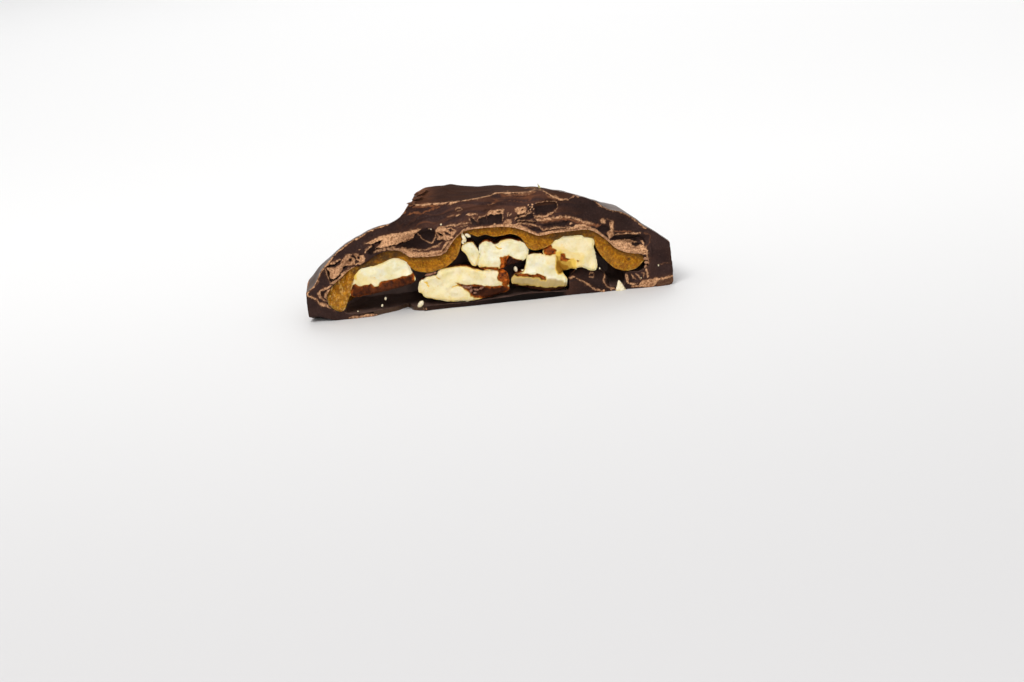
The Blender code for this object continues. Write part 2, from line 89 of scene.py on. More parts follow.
# Height of the shell's outer skin along the broken face, if its top had not chipped away
SKIN_AT_BREAK = [
    (-34, 3.6), (-32.3, 5.1), (-31, 6.15), (-30.5, 6.9), (-30.1, 7.65), (-29.7, 8.45), (-29, 9.3),
    (-28, 10.3), (-27, 11.3), (-26, 12.1), (-25, 12.8), (-24, 13.4), (-23, 13.95), (-22, 14.3),
    (-21, 14.8), (-20, 15.2), (-18, 15.8), (-16.9, 15.95), (-16, 16.3), (-15, 16.85), (-14.5, 17.3),
    (-14, 17.85), (-13.5, 18.55), (-12.9, 19.2), (-12.4, 19.3), (-11.9, 20.1), (-11, 20.4),
    (-10, 20.65), (-8.5, 20.8), (-6.4, 20.9), (-3.8, 20.35), (-1, 19.95), (3.3, 19.8), (6.8, 19.6),
    (9.2, 19.55), (10.5, 19.35), (12, 19), (14, 18.6), (16, 18.15), (17, 17.95), (18, 17.6), (19, 17.1),
    (19.8, 16.8), (20.5, 16.2), (21.2, 15.65), (22, 15.2), (23, 14.9), (24, 14.6), (25, 14.05),
    (26, 13.35), (27, 12.55), (27.6, 11.85), (28.2, 11.45), (29, 10.95), (30, 10.25), (31, 9.4),
    (31.75, 8.8), (32.3, 8.25), (34, 6.7),
]
# The dome behind the break: height over distance from the middle, to the left and to the right
LEFT_DOME = [
    (0, 20.6), (7, 20.4), (12, 18.9), (17.6, 16.2), (21.4, 14.7), (24.1, 13.3), (25.7, 12.4),
    (27.4, 11.1), (28.9, 9.9), (30.7, 8.6), (31.9, 7.3), (35, 4.7),
]
RIGHT_DOME = [
    (0, 20.6), (6, 20.1), (11.2, 19.2), (16, 17.7), (20.7, 16), (24.4, 13.8), (27.4, 11.45), (30, 9.15),
    (32, 7.7), (35, 5.4),
]
# How much lower than that the dome lies not far behind the break
DOME_FALL = [
    (-34, -0.3), (-26, -0.1), (-24, 0.1), (-22.5, 0.4), (-20, 0.9), (-18, 1.5), (-16, 1.9), (-14, 1.9),
    (-12, 1.4), (-10, 0.8), (-7, 0.4), (-3, 0.6), (2, 1), (6, 1.3), (9, 1.3), (12, 1.1), (15, 0.6),
    (17, 0.5), (19, 0.9), (21, 0.7), (22.5, 0.4), (24, 0), (34, 0),
]
# Front line of the chipped top, and how far back the chip reaches
CHIP_LINE = [
    (-13.2, 19.4), (-12.5, 19.5), (-12, 19.1), (-11.5, 18.9), (-10, 18.85), (-8, 18.9), (-6.25, 18.8),
    (-4, 18.85), (-2, 19), (0, 19.25), (1.55, 19.45), (2.2, 19.8), (4, 19.75), (6, 19.6), (8, 19.55),
    (8.8, 19.85), (10, 19.75), (10.8, 19.45), (11.5, 18.9), (12.2, 18.35), (12.8, 18.05), (13.4, 17.7),
    (14.2, 17.5), (15.05, 17.65), (15.65, 17.95), (16.2, 18.05), (17.2, 17.95),
]
CHIP_DEPTH = [
    (-13.4, 0.2), (-12.7, 0.4), (-12.2, 1.6), (-11.8, 4.6), (-11, 5.6), (-9, 6.2), (-4, 6.5), (6, 6),
    (10, 4.4), (12, 3.8), (15, 2.6), (17.4, 0.3),
]
# The caramel's section, from its left foot over the top and back underneath
CARAMEL_TOP = [
    (-29, 2.9), (-28.8, 4.4), (-28, 5.5), (-26.6, 6.9), (-24.3, 8.5), (-21.9, 9.3), (-19.5, 10.7),
    (-17.1, 11.2), (-15.4, 11), (-13.9, 9.9), (-11.9, 9.6), (-8.9, 9.6), (-7.5, 9.9), (-6.4, 11.4),
    (-5.2, 12.7), (-3.8, 13.5), (-2.4, 13.8), (0.3, 13.9), (4.7, 13.5), (7.9, 12.2), (9.2, 11.6),
    (12, 11.9), (16.1, 12), (18.1, 11.9), (19.4, 11.2), (21.3, 9.6), (22.7, 8.1), (24.2, 7.3),
    (27.3, 6.5),
]
CARAMEL_UNDERSIDE = [
    (27.8, 5.8), (27.1, 5), (26.2, 4.2), (24.7, 3.8), (23.9, 3.9), (22.4, 4.4), (21.5, 5.2),
    (20.6, 6.2), (19.9, 7.2), (19.3, 8.4), (19.05, 9.4), (18.9, 10.1), (17.5, 10.45), (16.8, 10.8),
    (16, 10.9), (14.1, 10.95), (13.1, 10.75), (12.6, 10.45), (12, 10.3), (11.4, 9.85), (10.6, 9.4),
    (9.3, 9), (8.1, 9), (7, 9.7), (6.6, 10.7), (5.8, 11.7), (4.3, 12.3), (2.9, 12.1), (1.2, 12.1),
    (-0.1, 12.6), (-1.5, 12.3), (-2.6, 12.8), (-4.2, 12.1), (-4.7, 10.6), (-5.4, 9.1), (-6.4, 8.1),
    (-7.7, 7.3), (-9.1, 6.9), (-10.5, 6.6), (-11.7, 6.8), (-13, 7.2), (-13.8, 7.9), (-14.3, 8.6),
    (-15.1, 9.3), (-16.3, 9.6), (-17.3, 9.45), (-18.3, 9.1), (-20.3, 8.55), (-22.5, 8.2), (-23.3, 7.65),
    (-23.9, 6.8), (-24.2, 5.8), (-24.7, 4.4), (-25.4, 2.7), (-26.1, 1.3), (-26.7, 0.9), (-27.7, 1.2),
    (-28.7, 2.1),
]
# The open space round the nuts
SPACE_FLOOR = [
    (-26.3, 1), (-25.6, 0.4), (-20, 0.4), (-14, 0.5), (-9, 0.6), (-4, 0.6), (0, 0.8), (3.5, 1),
    (6, 1.3), (10, 1.25), (13.8, 1.25),
]
SPACE_FLOOR_RIGHT = [
    (21.6, 1.2), (23.8, 1.2), (24.1, 3.3), (25.5, 3.5), (26.6, 3.5), (27.5, 3.8), (28.2, 4.3),
]
SPACE_ROOF = [
    (28.2, 5), (27.7, 5.9), (26.3, 5), (24.5, 4.6), (22.7, 5.2), (20.5, 7.6), (19.4, 9.4), (19, 11),
    (16, 11.4), (12.6, 11.2), (11, 10.7), (9.6, 10), (7.9, 10.1), (7.2, 11.2), (6.2, 12.4), (4, 12.9),
    (-2, 13.2), (-4.4, 12.8), (-5.4, 10.8), (-6.8, 8.9), (-9, 7.7), (-11.6, 7.5), (-13.1, 8.2),
    (-13.9, 9.2), (-15.2, 10.5), (-17, 10.6), (-21.8, 9), (-24, 8.1), (-25, 6.8), (-25.6, 4.2),
    (-26.2, 2.2),
]
# The chocolate lump on the floor of the space: its foot in front, its top behind
LUMP_FOOT = [(14.1, 3.2), (15.1, 3.3), (16.4, 2.6), (17.6, 1.8), (18.8, 1.3), (20.2, 1.2)]
LUMP_TOP = [(14.1, 3.7), (15.1, 4.3), (16.4, 4.7), (17.8, 4.4), (19.6, 4.2), (20.9, 3.6)]
LUMP_SLOPE = 2.2
# Notch in the base's front edge, seen from above, and the chip off its left corner
BASE_NOTCH = [
    (-21.4, -OUT_OF_THE_WAY), (-21.0, 0.2), (-19.0, 1.4), (-16.8, 2.6), (-15.0, 4.6),
    (-13.9, 1.6), (-12.0, 0.2), (-11.8, -OUT_OF_THE_WAY),
]
CORNER_CHIP = [(-35, -1.5), (-35, 1.3), (-30.8, 1.2), (-27.6, -0.1), (-27.6, -1.5)]
CORNER_CHIP_HEIGHTS = [(-OUT_OF_THE_WAY - 1, 1.2), (0.6, 1.1), (4.5, -0.4)]
# Gaps between the cap's ragged tips, as they are seen from the camera's height
TIP_GAPS = [
    [(-15, 19.6), (-12.45, 19.62), (-12.75, 19.8), (-15, 20.3)],
    [(-15, 20.35), (-12.3, 20.42), (-11.35, 20.5), (-11.6, 20.68), (-12.4, 20.85), (-15, 21.2)],
]
# How far the side wall stands inside the round outline, by height
SIDE_WALL = [(0, 0.7), (0.2, 0.3), (0.45, 0.1), (0.7, 0), (3.2, -0.05), (6, 0.02)]

# Soft-edged forms on the broken face: x, z, half width, half height, tilt in degrees, and how
# far each is sunk. A minus stands proud.
BREAK_FORMS = [
    (-16.4, 13.1, 5.4, 1, 10, -0.55), (-11.2, 12.1, 4.2, 1.8, -2, 1.1),
    (-26.9, 8.6, 1.9, 1.7, 35, -0.5), (-24, 9.4, 2.6, 0.9, 35, 0.45), (24.9, 11, 3.4, 0.9, -14, -0.4),
    (24.8, 9.7, 2.6, 0.7, -8, 0.55), (4.8, 16.4, 4.2, 1.1, 5, -0.4), (11, 16.5, 2.4, 1.2, 12, 0.4),
    (-1.8, 15.4, 1.3, 0.9, -30, -0.45), (-5.8, 12.8, 2.6, 1.2, 42, -0.35),
    (28.6, 1.4, 3.6, 1.2, 4, -0.3), (-6, 16.2, 9, 0.9, 8, 0.3),
]
LEDGE_PROUD = 0.4
LEDGE_HEIGHT = 1.1

# Pale scuffed areas of the broken face: strength, how far each stands proud, and its outline
TAN_PATCHES = [
    (0.68, 0.16, [(-28.4, 9.2), (-27, 9.25), (-26, 9.6), (-25.2, 9.4), (-25.9, 8.4), (-26.5, 7.75),
        (-27.25, 7.1), (-27.9, 7.25), (-28.2, 8.1)]),
    (0.62, 0.12, [(-25.9, 9.6), (-25.4, 10.4), (-24.8, 10.95), (-24.1, 11.1), (-23.7, 10.5),
        (-23.2, 10), (-23.4, 9.3), (-24.2, 9.1), (-25, 9.2)]),
    (0.75, 0.12, [(-23.5, 11.25), (-22.7, 11.15), (-22.6, 10.7), (-21.9, 10.8), (-21.4, 10.3),
        (-21.8, 9.8), (-22.6, 9.5), (-23, 9.9), (-23.3, 10.5)]),
    (1, 0.3, [(-21.3, 12.85), (-20, 13.5), (-18, 14), (-16, 14.25), (-14, 14.5), (-12, 14.7),
        (-11.4, 14.6), (-11.6, 14.2), (-12.5, 14), (-12.5, 13.4), (-12.8, 13), (-14, 12.6), (-15, 12.4),
        (-17, 12.15), (-19, 12), (-19.6, 11.9), (-19.2, 12.4), (-18.4, 13), (-20.1, 12.9)]),
    (0.85, 0.12, [(-8.7, 14.1), (-8.2, 14.7), (-7.4, 14.6), (-6.9, 14.2), (-6, 14.35), (-5.3, 14.1),
        (-5.1, 13.7), (-5.6, 13.2), (-6.2, 12.9), (-5.7, 12.6), (-6.6, 12.2), (-7.6, 12.15),
        (-8.5, 12.1), (-8.3, 12.8), (-8.8, 13.4)]),
    (0.95, 0.15, [(0.6, 16.1), (0.7, 16.5), (1.2, 16.75), (2, 16.95), (3.55, 16.95), (3.3, 16.1),
        (2.9, 16), (1, 16.05)]),
    (0.8, 0.08, [(5.2, 16.9), (6, 17.1), (7.4, 17.1), (7.5, 16.3), (7.1, 15.9), (6.2, 15.9),
        (5.7, 16.2)]),
    (0.7, 0.12, [(3.3, 14.3), (3.5, 14.8), (3.9, 15), (4.5, 14.9), (4.9, 14.4), (4.2, 14.1)]),
    (0.8, 0.12, [(20.3, 13.5), (20.8, 13.7), (21.3, 13.1), (21.2, 12.7), (20.5, 12.7)]),
    (0.85, 0.15, [(21.9, 13), (22.6, 13.05), (22.55, 11.8), (22.4, 10.3), (21.6, 10), (21.2, 10.9),
        (22, 11.6)]),
    (0.85, 0.15, [(-6.1, 18.4), (-6, 19.1), (-5, 19.15), (-4, 19.15), (-4, 18.8), (-5, 18.5)]),
    (0.72, 0.1, [(25, 1), (26.1, 1.1), (27, 1.9), (28, 2.05), (29, 2.2), (30, 2.1), (32.6, 2.3),
        (32.6, 2.05), (30, 1.75), (29.5, 1.4), (29, 0.75), (28, 0.5), (26.75, 0.75), (25, 0.8)]),
    (0.25, 0.05, [(29.4, 1.8), (32.6, 2), (32.6, 0.3), (29.3, 0.4)]),
    (0.75, 0.08, [(7.1, 20.2), (8.5, 20.55), (10, 20.4), (9.6, 20.1), (8.2, 20.15)]),
]
# The pale layer that follows the top of the caramel: its upper edge, then its lower edge back
LEDGE_UPPER_EDGE = [
    (-15, 11), (-14, 10.7), (-12.6, 10.5), (-11.25, 10.4), (-9, 10.4), (-8, 10.6), (-7.4, 11.7),
    (-6.25, 12.1), (-5.25, 13.1), (-4, 13.85), (-3, 14.2), (0, 14.1), (1.5, 14.3), (3.3, 14.2),
    (5.1, 14.05), (6.2, 13.75), (7.2, 13.2), (8.2, 12.55), (9.2, 12), (11, 12.3), (13, 12.4),
    (15, 12.6), (16, 13), (17.4, 13), (18.5, 12.4), (19.2, 12), (20, 11.3), (21, 10.4), (21.8, 9.6),
    (25.4, 9.4), (26.6, 8.4), (27.6, 8.3), (28, 7.6), (28, 6.5),
]
LEDGE_LOWER_EDGE = [
    (27.4, 6.6), (25, 6.9), (24, 7.1), (23, 7.8), (22, 8.6), (21, 9.5), (20, 10.4), (19, 11.3),
    (18.2, 11.7), (16, 11.8), (12, 11.7), (9.3, 11.3), (8, 11.9), (5.1, 13.3), (3, 13.5), (0, 13.7),
    (-3, 13.6), (-4.5, 13), (-5.5, 12.2), (-6.75, 10.9), (-7.3, 10.2), (-8.2, 9.5), (-9, 9.4),
    (-11, 9.45), (-12.5, 9.6), (-14, 9.8),
]
# Smooth dark hollows of the broken face: how far sunk, and the outline
DARK_PATCHES = [
    (0.45, [(-21, 11), (-20.6, 12), (-20.1, 12.6), (-19.6, 12.3), (-19.8, 11.4), (-20.4, 10.9)]),
    (0.35, [(-15.25, 11.75), (-15, 12.1), (-14, 12.5), (-12.6, 13), (-12.4, 13.75), (-11.9, 14.3),
        (-10.5, 14.6), (-9, 14.4), (-8.75, 14), (-8.75, 13), (-8.5, 12.1), (-7.5, 12), (-8, 11.5),
        (-9, 11), (-10, 10.8), (-12, 10.9), (-14, 11)]),
    (0.4, [(-18.1, 10.2), (-17.5, 10.7), (-16.5, 11), (-15.6, 11), (-15.1, 10.6), (-15.4, 10.2),
        (-16.5, 10.1), (-17.5, 10)]),
    (0.4, [(-8.4, 13.6), (-7.9, 13.4), (-7.4, 12.9), (-7.9, 12.8), (-8.3, 13.1)]),
    (0.35, [(-24.7, 10.2), (-24.1, 10.4), (-23.8, 10), (-24.3, 9.7)]),
    (0.3, [(-22.9, 10.6), (-22.4, 10.6), (-22.5, 10.15), (-22.9, 10.2)]),
    (0.35, [(-7.2, 13.8), (-6.6, 13.45), (-6, 13.1), (-6.4, 12.85), (-7, 13.2)]),
    (0.3, [(-6.6, 14), (-6, 14.05), (-5.5, 13.8), (-6.1, 13.6)]),
    (0.35, [(-1.05, 14.4), (-0.95, 15.75), (0.2, 15.65), (0.45, 15.2), (0.45, 14.35)]),
    (0.45, [(0.5, 14.4), (0.55, 15.9), (1.5, 16), (2.9, 15.95), (3.15, 15.2), (3.05, 14.5)]),
    (0.3, [(-2.45, 15.6), (-2.2, 15.9), (-1.5, 15.2), (-1.15, 14.5), (-2.2, 14.6)]),
    (0.3, [(9.1, 17.2), (10.35, 17.4), (12, 17.4), (12.6, 17.2), (12.85, 16.8), (12.7, 16.1),
        (12.1, 15.6), (11.05, 15.2), (10.35, 15.1), (9.3, 15.3), (9, 16.2)]),
    (0.3, [(9.9, 13.15), (10.8, 13.45), (12, 13.5), (13.5, 13.6), (14.5, 13.7), (14.3, 13.1),
        (12.8, 12.98), (10.6, 12.9)]),
    (0.3, [(7.6, 13.1), (8.4, 13.25), (9.9, 12.6), (9.6, 12.25), (8.6, 12.5)]),
    (0.35, [(19.8, 11.6), (20.2, 12.3), (21.2, 12.3), (21.9, 11.9), (21.8, 11.3), (20.8, 11.2)]),
    (0.4, [(22.2, 9.8), (22.5, 10.2), (24.5, 10.2), (27, 10.1), (27.2, 9.7), (25.5, 9.5),
        (23.5, 9.45)]),
    (0.6, [(25.5, 8.75), (26.2, 8.95), (27, 8.6), (26.8, 8.2), (26.2, 8), (25.6, 8.3)]),
    (0.4, [(25.9, 9), (26, 9.45), (26.5, 9.4), (26.5, 9)]),
    (0.3, [(5.3, 14.5), (5.7, 15.7), (8.2, 15.5), (8.9, 15.2), (8.6, 14.9), (7, 14.6)]),
    (0.35, [(-29.95, 4.1), (-29.9, 4.75), (-29.35, 4.8), (-29.2, 4.2), (-29.5, 3.9)]),
    (0.35, [(-12.4, 19.25), (-12.2, 19.9), (-11, 20.15), (-9.4, 20), (-8.2, 19.6), (-8.6, 19.15),
        (-11, 19.1)]),
]
# Thin pale ridges: half width, strength, how red-brown, and the points each runs through
RIDGES = [
    (0.16, 1, 0, [(-32.3, 4.5), (-32.25, 5), (-31, 6), (-30.5, 6.75), (-30.1, 7.5), (-29.7, 8.3),
        (-29, 9.15), (-28, 10.15), (-27, 11.15)]),
    (0.11, 1, 0, [(-27, 11.15), (-26, 11.97), (-25, 12.65), (-24, 13.25), (-23, 13.8), (-22, 14.15),
        (-21, 14.65), (-20, 15.05), (-18, 15.7), (-16.8, 16.05)]),
    (0.14, 0.9, 0, [(-32.3, 4.4), (-31.5, 4.1), (-31, 3.75), (-30.6, 3.3), (-30.4, 2.8)]),
    (0.24, 0.8, 0.1, [(-30.5, 2.9), (-29.9, 2.6), (-29.2, 2.35), (-28.7, 2)]),
    (0.1, 0.7, 0, [(-28.7, 2), (-28, 1.6), (-27.3, 1.2)]),
    (0.18, 0.8, 0.1, [(-29.3, 3.1), (-29.75, 3.4), (-30.1, 3.9), (-30.3, 4.5), (-30.1, 4.95)]),
    (0.22, 0.85, 0.1, [(-30.1, 5), (-29.5, 5.25), (-29, 5.5), (-28.5, 5.6), (-28, 5.9)]),
    (0.26, 0.8, 0.1, [(-28.2, 5.2), (-28.7, 4.9), (-29.1, 4.3), (-29.1, 3.7), (-28.9, 3.2)]),
    (0.11, 0.8, 0.2, [(-28.65, 9.2), (-28.7, 8.5), (-28.5, 7.7), (-28.25, 6.8), (-28.1, 6.3)]),
    (0.26, 0.95, 0, [(-28.1, 6.3), (-27.5, 6.45), (-27, 6.6), (-26.3, 7.1), (-25.6, 7.7)]),
    (0.22, 0.9, 0, [(-26, 7.8), (-24.75, 8.15), (-24, 8.65), (-23.3, 8.8)]),
    (0.15, 0.85, 0, [(-27.9, 9.85), (-27, 10.1), (-26.2, 10.4), (-25.8, 10.35)]),
    (0.18, 0.8, 0.2, [(-25.7, 10), (-25.3, 10.5), (-24.75, 11), (-23.75, 11.25)]),
    (0.3, 0.9, 0.1, [(-8.4, 12.4), (-7.4, 12.6), (-6.4, 12.9)]),
    (0.22, 0.9, 0, [(-23.3, 9.2), (-22.5, 9.45), (-21.7, 9.8)]),
    (0.15, 0.7, 0.1, [(-22.8, 11.85), (-22.1, 11.95)]),
    (0.12, 0.95, 0, [(-21.5, 11.1), (-21.3, 11.5), (-20.75, 12.1), (-20.2, 12.65)]),
    (0.34, 0.8, 0.15, [(-19.9, 11.3), (-19, 11.55), (-18, 11.7), (-16.8, 11.6), (-16, 11.4),
        (-15.25, 11.2), (-14.4, 10.9), (-13.3, 10.6)]),
    (0.12, 0.7, 0.2, [(-15.3, 11.1), (-14.95, 10.6), (-15.1, 10.15), (-15.8, 9.95)]),
    (0.09, 0.85, 0, [(-12, 14), (-11.75, 13.25), (-11.25, 12.6), (-10.5, 12), (-9.75, 11.7),
        (-9.1, 12.1), (-8.85, 12.9), (-8.75, 13.5)]),
    (0.12, 0.7, 0.1, [(-15, 11.5), (-14.2, 11.05), (-13, 10.85), (-12, 10.75), (-10.5, 10.75),
        (-9.3, 10.95), (-8.3, 11.35), (-7.6, 11.9)]),
    (0.11, 0.7, 0, [(-9.65, 14.6), (-9.5, 14.35), (-9.35, 14.15)]),
    (0.2, 0.75, 0.25, [(-7.6, 14.6), (-6, 14.75), (-4.8, 14.85), (-4, 15), (-2.7, 15.05)]),
    (0.1, 0.6, 0.3, [(-5, 14.3), (-4, 14.45), (-3, 14.6)]),
    (0.13, 0.95, 0, [(-12.9, 19.6), (-12.3, 19.3), (-11.8, 19), (-11, 18.9), (-10, 18.85), (-9, 18.9)]),
    (0.13, 0.95, 0, [(-9, 18.9), (-8, 18.85), (-6.2, 18.85)]),
    (0.14, 0.9, 0.2, [(-4, 18.95), (-2, 19.05), (0, 19.3), (1.5, 19.5), (2.2, 19.8)]),
    (0.14, 0.8, 0.3, [(2.2, 19.8), (4, 19.75), (6, 19.6), (8, 19.55), (8.8, 19.85)]),
    (0.2, 0.9, 0.1, [(8.6, 19.8), (9.4, 19.95), (10, 19.8), (10.8, 19.45), (11.5, 18.95)]),
    (0.15, 0.9, 0.1, [(11.5, 18.95), (12.2, 18.35), (12.8, 18.05), (13.4, 17.75), (14.2, 17.55),
        (15.05, 17.65)]),
    (0.12, 0.75, 0.3, [(15.05, 17.65), (15.65, 17.95), (16.2, 18.05), (17.2, 17.95)]),
    (0.17, 0.35, 0.9, [(-11.3, 17.2), (-10, 17.6), (-9, 17.95), (-7.8, 18.2)]),
    (0.26, 0.45, 0.9, [(-12.3, 18.5), (-11, 18.6), (-9.6, 18.55), (-8, 18.55)]),
    (0.34, 0.55, 0.8, [(-15.3, 16.8), (-14.7, 17.3), (-14.2, 17.8), (-13.7, 18.4), (-13.1, 19)]),
    (0.26, 0.55, 0.7, [(-13.5, 19.1), (-12.9, 18.95), (-12.2, 18.85)]),
    (0.2, 0.4, 0.9, [(-13.4, 17.3), (-12.2, 17.6), (-11, 17.3)]),
    (0.3, 0.55, 0.5, [(-6.4, 16.3), (-5.6, 16.45), (-5, 16.5)]),
    (0.22, 1, 0, [(-4.7, 16.45), (-4.1, 16.5)]),
    (0.17, 0.6, 0.3, [(-4.9, 17.4), (-4.6, 17.75), (-4, 17.75), (-3.75, 17.5), (-4.1, 17.25),
        (-4.6, 17.25)]),
    (0.18, 0.9, 0.1, [(-3.1, 16.35), (-2.3, 16.35), (-1.3, 16.4)]),
    (0.12, 0.6, 0.5, [(0.6, 17.8), (1.2, 17.9), (1.9, 18.1)]),
    (0.12, 0.75, 0.1, [(-2.7, 15.9), (-2.55, 15.3), (-2.4, 14.6)]),
    (0.1, 0.65, 0, [(-2.2, 16), (-1.8, 15.6), (-1.4, 15.1)]),
    (0.09, 0.65, 0, [(-1.45, 15.1), (-1.15, 15.6), (-0.95, 16)]),
    (0.1, 0.7, 0, [(-0.95, 15.85), (-0.3, 15.8), (0.2, 15.85), (0.5, 16.3)]),
    (0.09, 0.7, 0, [(3.05, 16), (3.25, 15.3), (3.2, 14.5)]),
    (0.12, 0.8, 0, [(4, 15.3), (4.1, 15.8), (4.2, 16.1)]),
    (0.16, 0.75, 0, [(4.6, 15.6), (4.75, 15.95)]),
    (0.15, 0.95, 0, [(5.8, 14.95), (6.6, 15.25), (7.5, 15.6), (8.3, 16)]),
    (0.13, 0.8, 0, [(5.4, 14.6), (5.6, 15.3)]),
    (0.12, 0.7, 0.1, [(6, 15.6), (6.5, 15.9), (6.6, 16.3)]),
    (0.09, 0.6, 0, [(9.05, 17.35), (10.35, 17.5), (12, 17.5), (12.7, 17.3), (12.95, 16.8),
        (12.85, 16.1), (12.1, 15.5), (11.05, 15.1)]),
    (0.18, 0.9, 0, [(8.6, 15.3), (9.3, 15), (10.2, 14.85), (11.05, 15.05), (12.2, 15.5)]),
    (0.09, 0.65, 0, [(5.8, 14.55), (7, 14.5), (7.9, 14.4), (9, 14.1)]),
    (0.14, 0.85, 0.1, [(5, 14.05), (6.5, 14), (8, 13.8), (9.3, 13.25)]),
    (0.22, 0.8, 0.2, [(8.8, 14.8), (9.5, 14.3), (10.4, 14.4), (12, 14.5), (14, 14.6)]),
    (0.2, 0.8, 0.25, [(14, 14.6), (15, 14.4), (16, 14.05), (17, 13.6), (18, 13.25), (19, 12.9)]),
    (0.22, 0.45, 0.7, [(9.8, 13.9), (11.5, 14.1), (13, 14.25)]),
    (0.42, 0.35, 0.75, [(9.6, 14.3), (11, 14.2), (12.6, 14.2), (14, 14.3), (15.2, 13.9)]),
    (0.42, 0.4, 0.7, [(15, 13.95), (16.4, 13.5), (17.6, 13.15), (18.8, 12.75)]),
    (0.16, 0.6, 0.3, [(9.9, 12.55), (11, 12.75), (12.4, 12.85), (13.4, 12.85)]),
    (0.24, 0.45, 0.6, [(4.2, 19.35), (6, 19.2), (8, 19.2), (9.6, 19.5)]),
    (0.22, 0.45, 0.6, [(11, 18.8), (12, 18.1), (13, 17.7), (13.8, 17.4)]),
    (0.26, 0.4, 0.8, [(17.6, 13.1), (19, 12.7), (20.4, 12.4)]),
    (0.2, 0.8, 0, [(14.8, 13.1), (15.2, 13.3), (15.5, 13.2)]),
    (0.15, 0.7, 0.1, [(9.6, 13.2), (10, 12.6), (11.2, 12.75), (13.5, 12.75), (14.9, 12.7)]),
    (0.14, 0.5, 0.8, [(22.5, 11.15), (24, 11.1), (25.5, 11)]),
    (0.19, 0.75, 0.2, [(22.4, 10.5), (24, 10.65), (25.5, 10.6), (27.2, 10.5)]),
    (0.12, 0.4, 0.5, [(27.6, 10.4), (28.5, 10.3), (28.8, 9.5), (28.75, 8.75), (28.25, 8.1)]),
    (0.12, 0.8, 0, [(25.4, 8.8), (26, 8.75), (26.6, 9)]),
    (0.16, 0.85, 0, [(27.2, 9.1), (27.5, 8.6), (27.6, 8)]),
    (0.11, 0.9, 0, [(19.4, 16.95), (20, 16.5), (20.5, 16.1), (21.2, 15.6), (22, 15.15)]),
    (0.13, 0.75, 0.15, [(22, 15.15), (23, 14.85), (24, 14.5), (25, 13.95), (26, 13.25), (27, 12.45)]),
    (0.17, 0.75, 0.1, [(27, 12.45), (27.5, 11.8), (28, 11.35), (28.6, 11.3)]),
    (0.17, 0.8, 0.1, [(28, 8), (28.15, 7), (28.2, 6), (28.25, 5), (28.05, 4.2)]),
    (0.15, 0.85, 0.1, [(27, 4.6), (27.5, 4.1), (27.95, 3.5), (28, 2.9), (27.8, 2.3)]),
    (0.16, 0.8, 0.1, [(24.2, 3.3), (24.3, 2.4), (24.4, 1.5)]),
    (0.12, 0.7, 0.1, [(25, 3.2), (25.4, 2.6), (25.9, 2.1)]),
    (0.12, 0.7, 0.1, [(25.9, 3.3), (26.3, 2.6), (26.8, 1.9)]),
    (0.2, 0.8, 0.1, [(24.6, 1.5), (25.3, 1.3), (26, 1.5)]),
    (0.14, 0.7, 0.2, [(26.9, 3.4), (27.3, 2.9), (27.2, 2.3)]),
    (0.14, 0.75, 0.15, [(15.2, 3.3), (16.3, 2.75), (17, 2.2), (17.7, 1.6), (18.4, 1.1), (19.2, 0.8),
        (20, 0.5), (21, 0.1)]),
    (0.14, 0.75, 0.15, [(20.9, 3.9), (20.3, 3), (20.25, 2.25), (20.5, 1.6), (21, 1.15), (22, 0.75),
        (22.4, 0.2)]),
    (0.18, 0.9, 0, [(13.9, 3.5), (14.5, 3.55), (15.1, 3.6)]),
    (0.13, 0.8, 0, [(17.65, 3.6), (17.75, 3.95), (18.1, 4.1), (18.45, 3.9), (18.45, 3.45), (18.15, 3.2),
        (17.8, 3.3), (17.65, 3.55)]),
    (0.1, 0.6, 0, [(14.6, 4.3), (15, 4.7), (15.3, 5.1)]),
    (0.13, 0.8, 0.2, [(-20.8, 0.1), (-19, 0.5), (-17.2, 0.9), (-15.6, 1.5), (-15, 1.7), (-14.2, 1),
        (-13.2, 0.3)]),
    (0.22, 0.9, 0.1, [(-25.3, -0.2), (-24, -0.3), (-22.5, -0.22), (-20.6, -0.15)]),
    (0.1, 0.3, 0.2, [(30.1, 4.35), (31.2, 4.55), (32.3, 4.75)]),
    (0.12, 0.5, 0.3, [(22.6, 12.9), (22.1, 13.2), (21.2, 13.6)]),
]
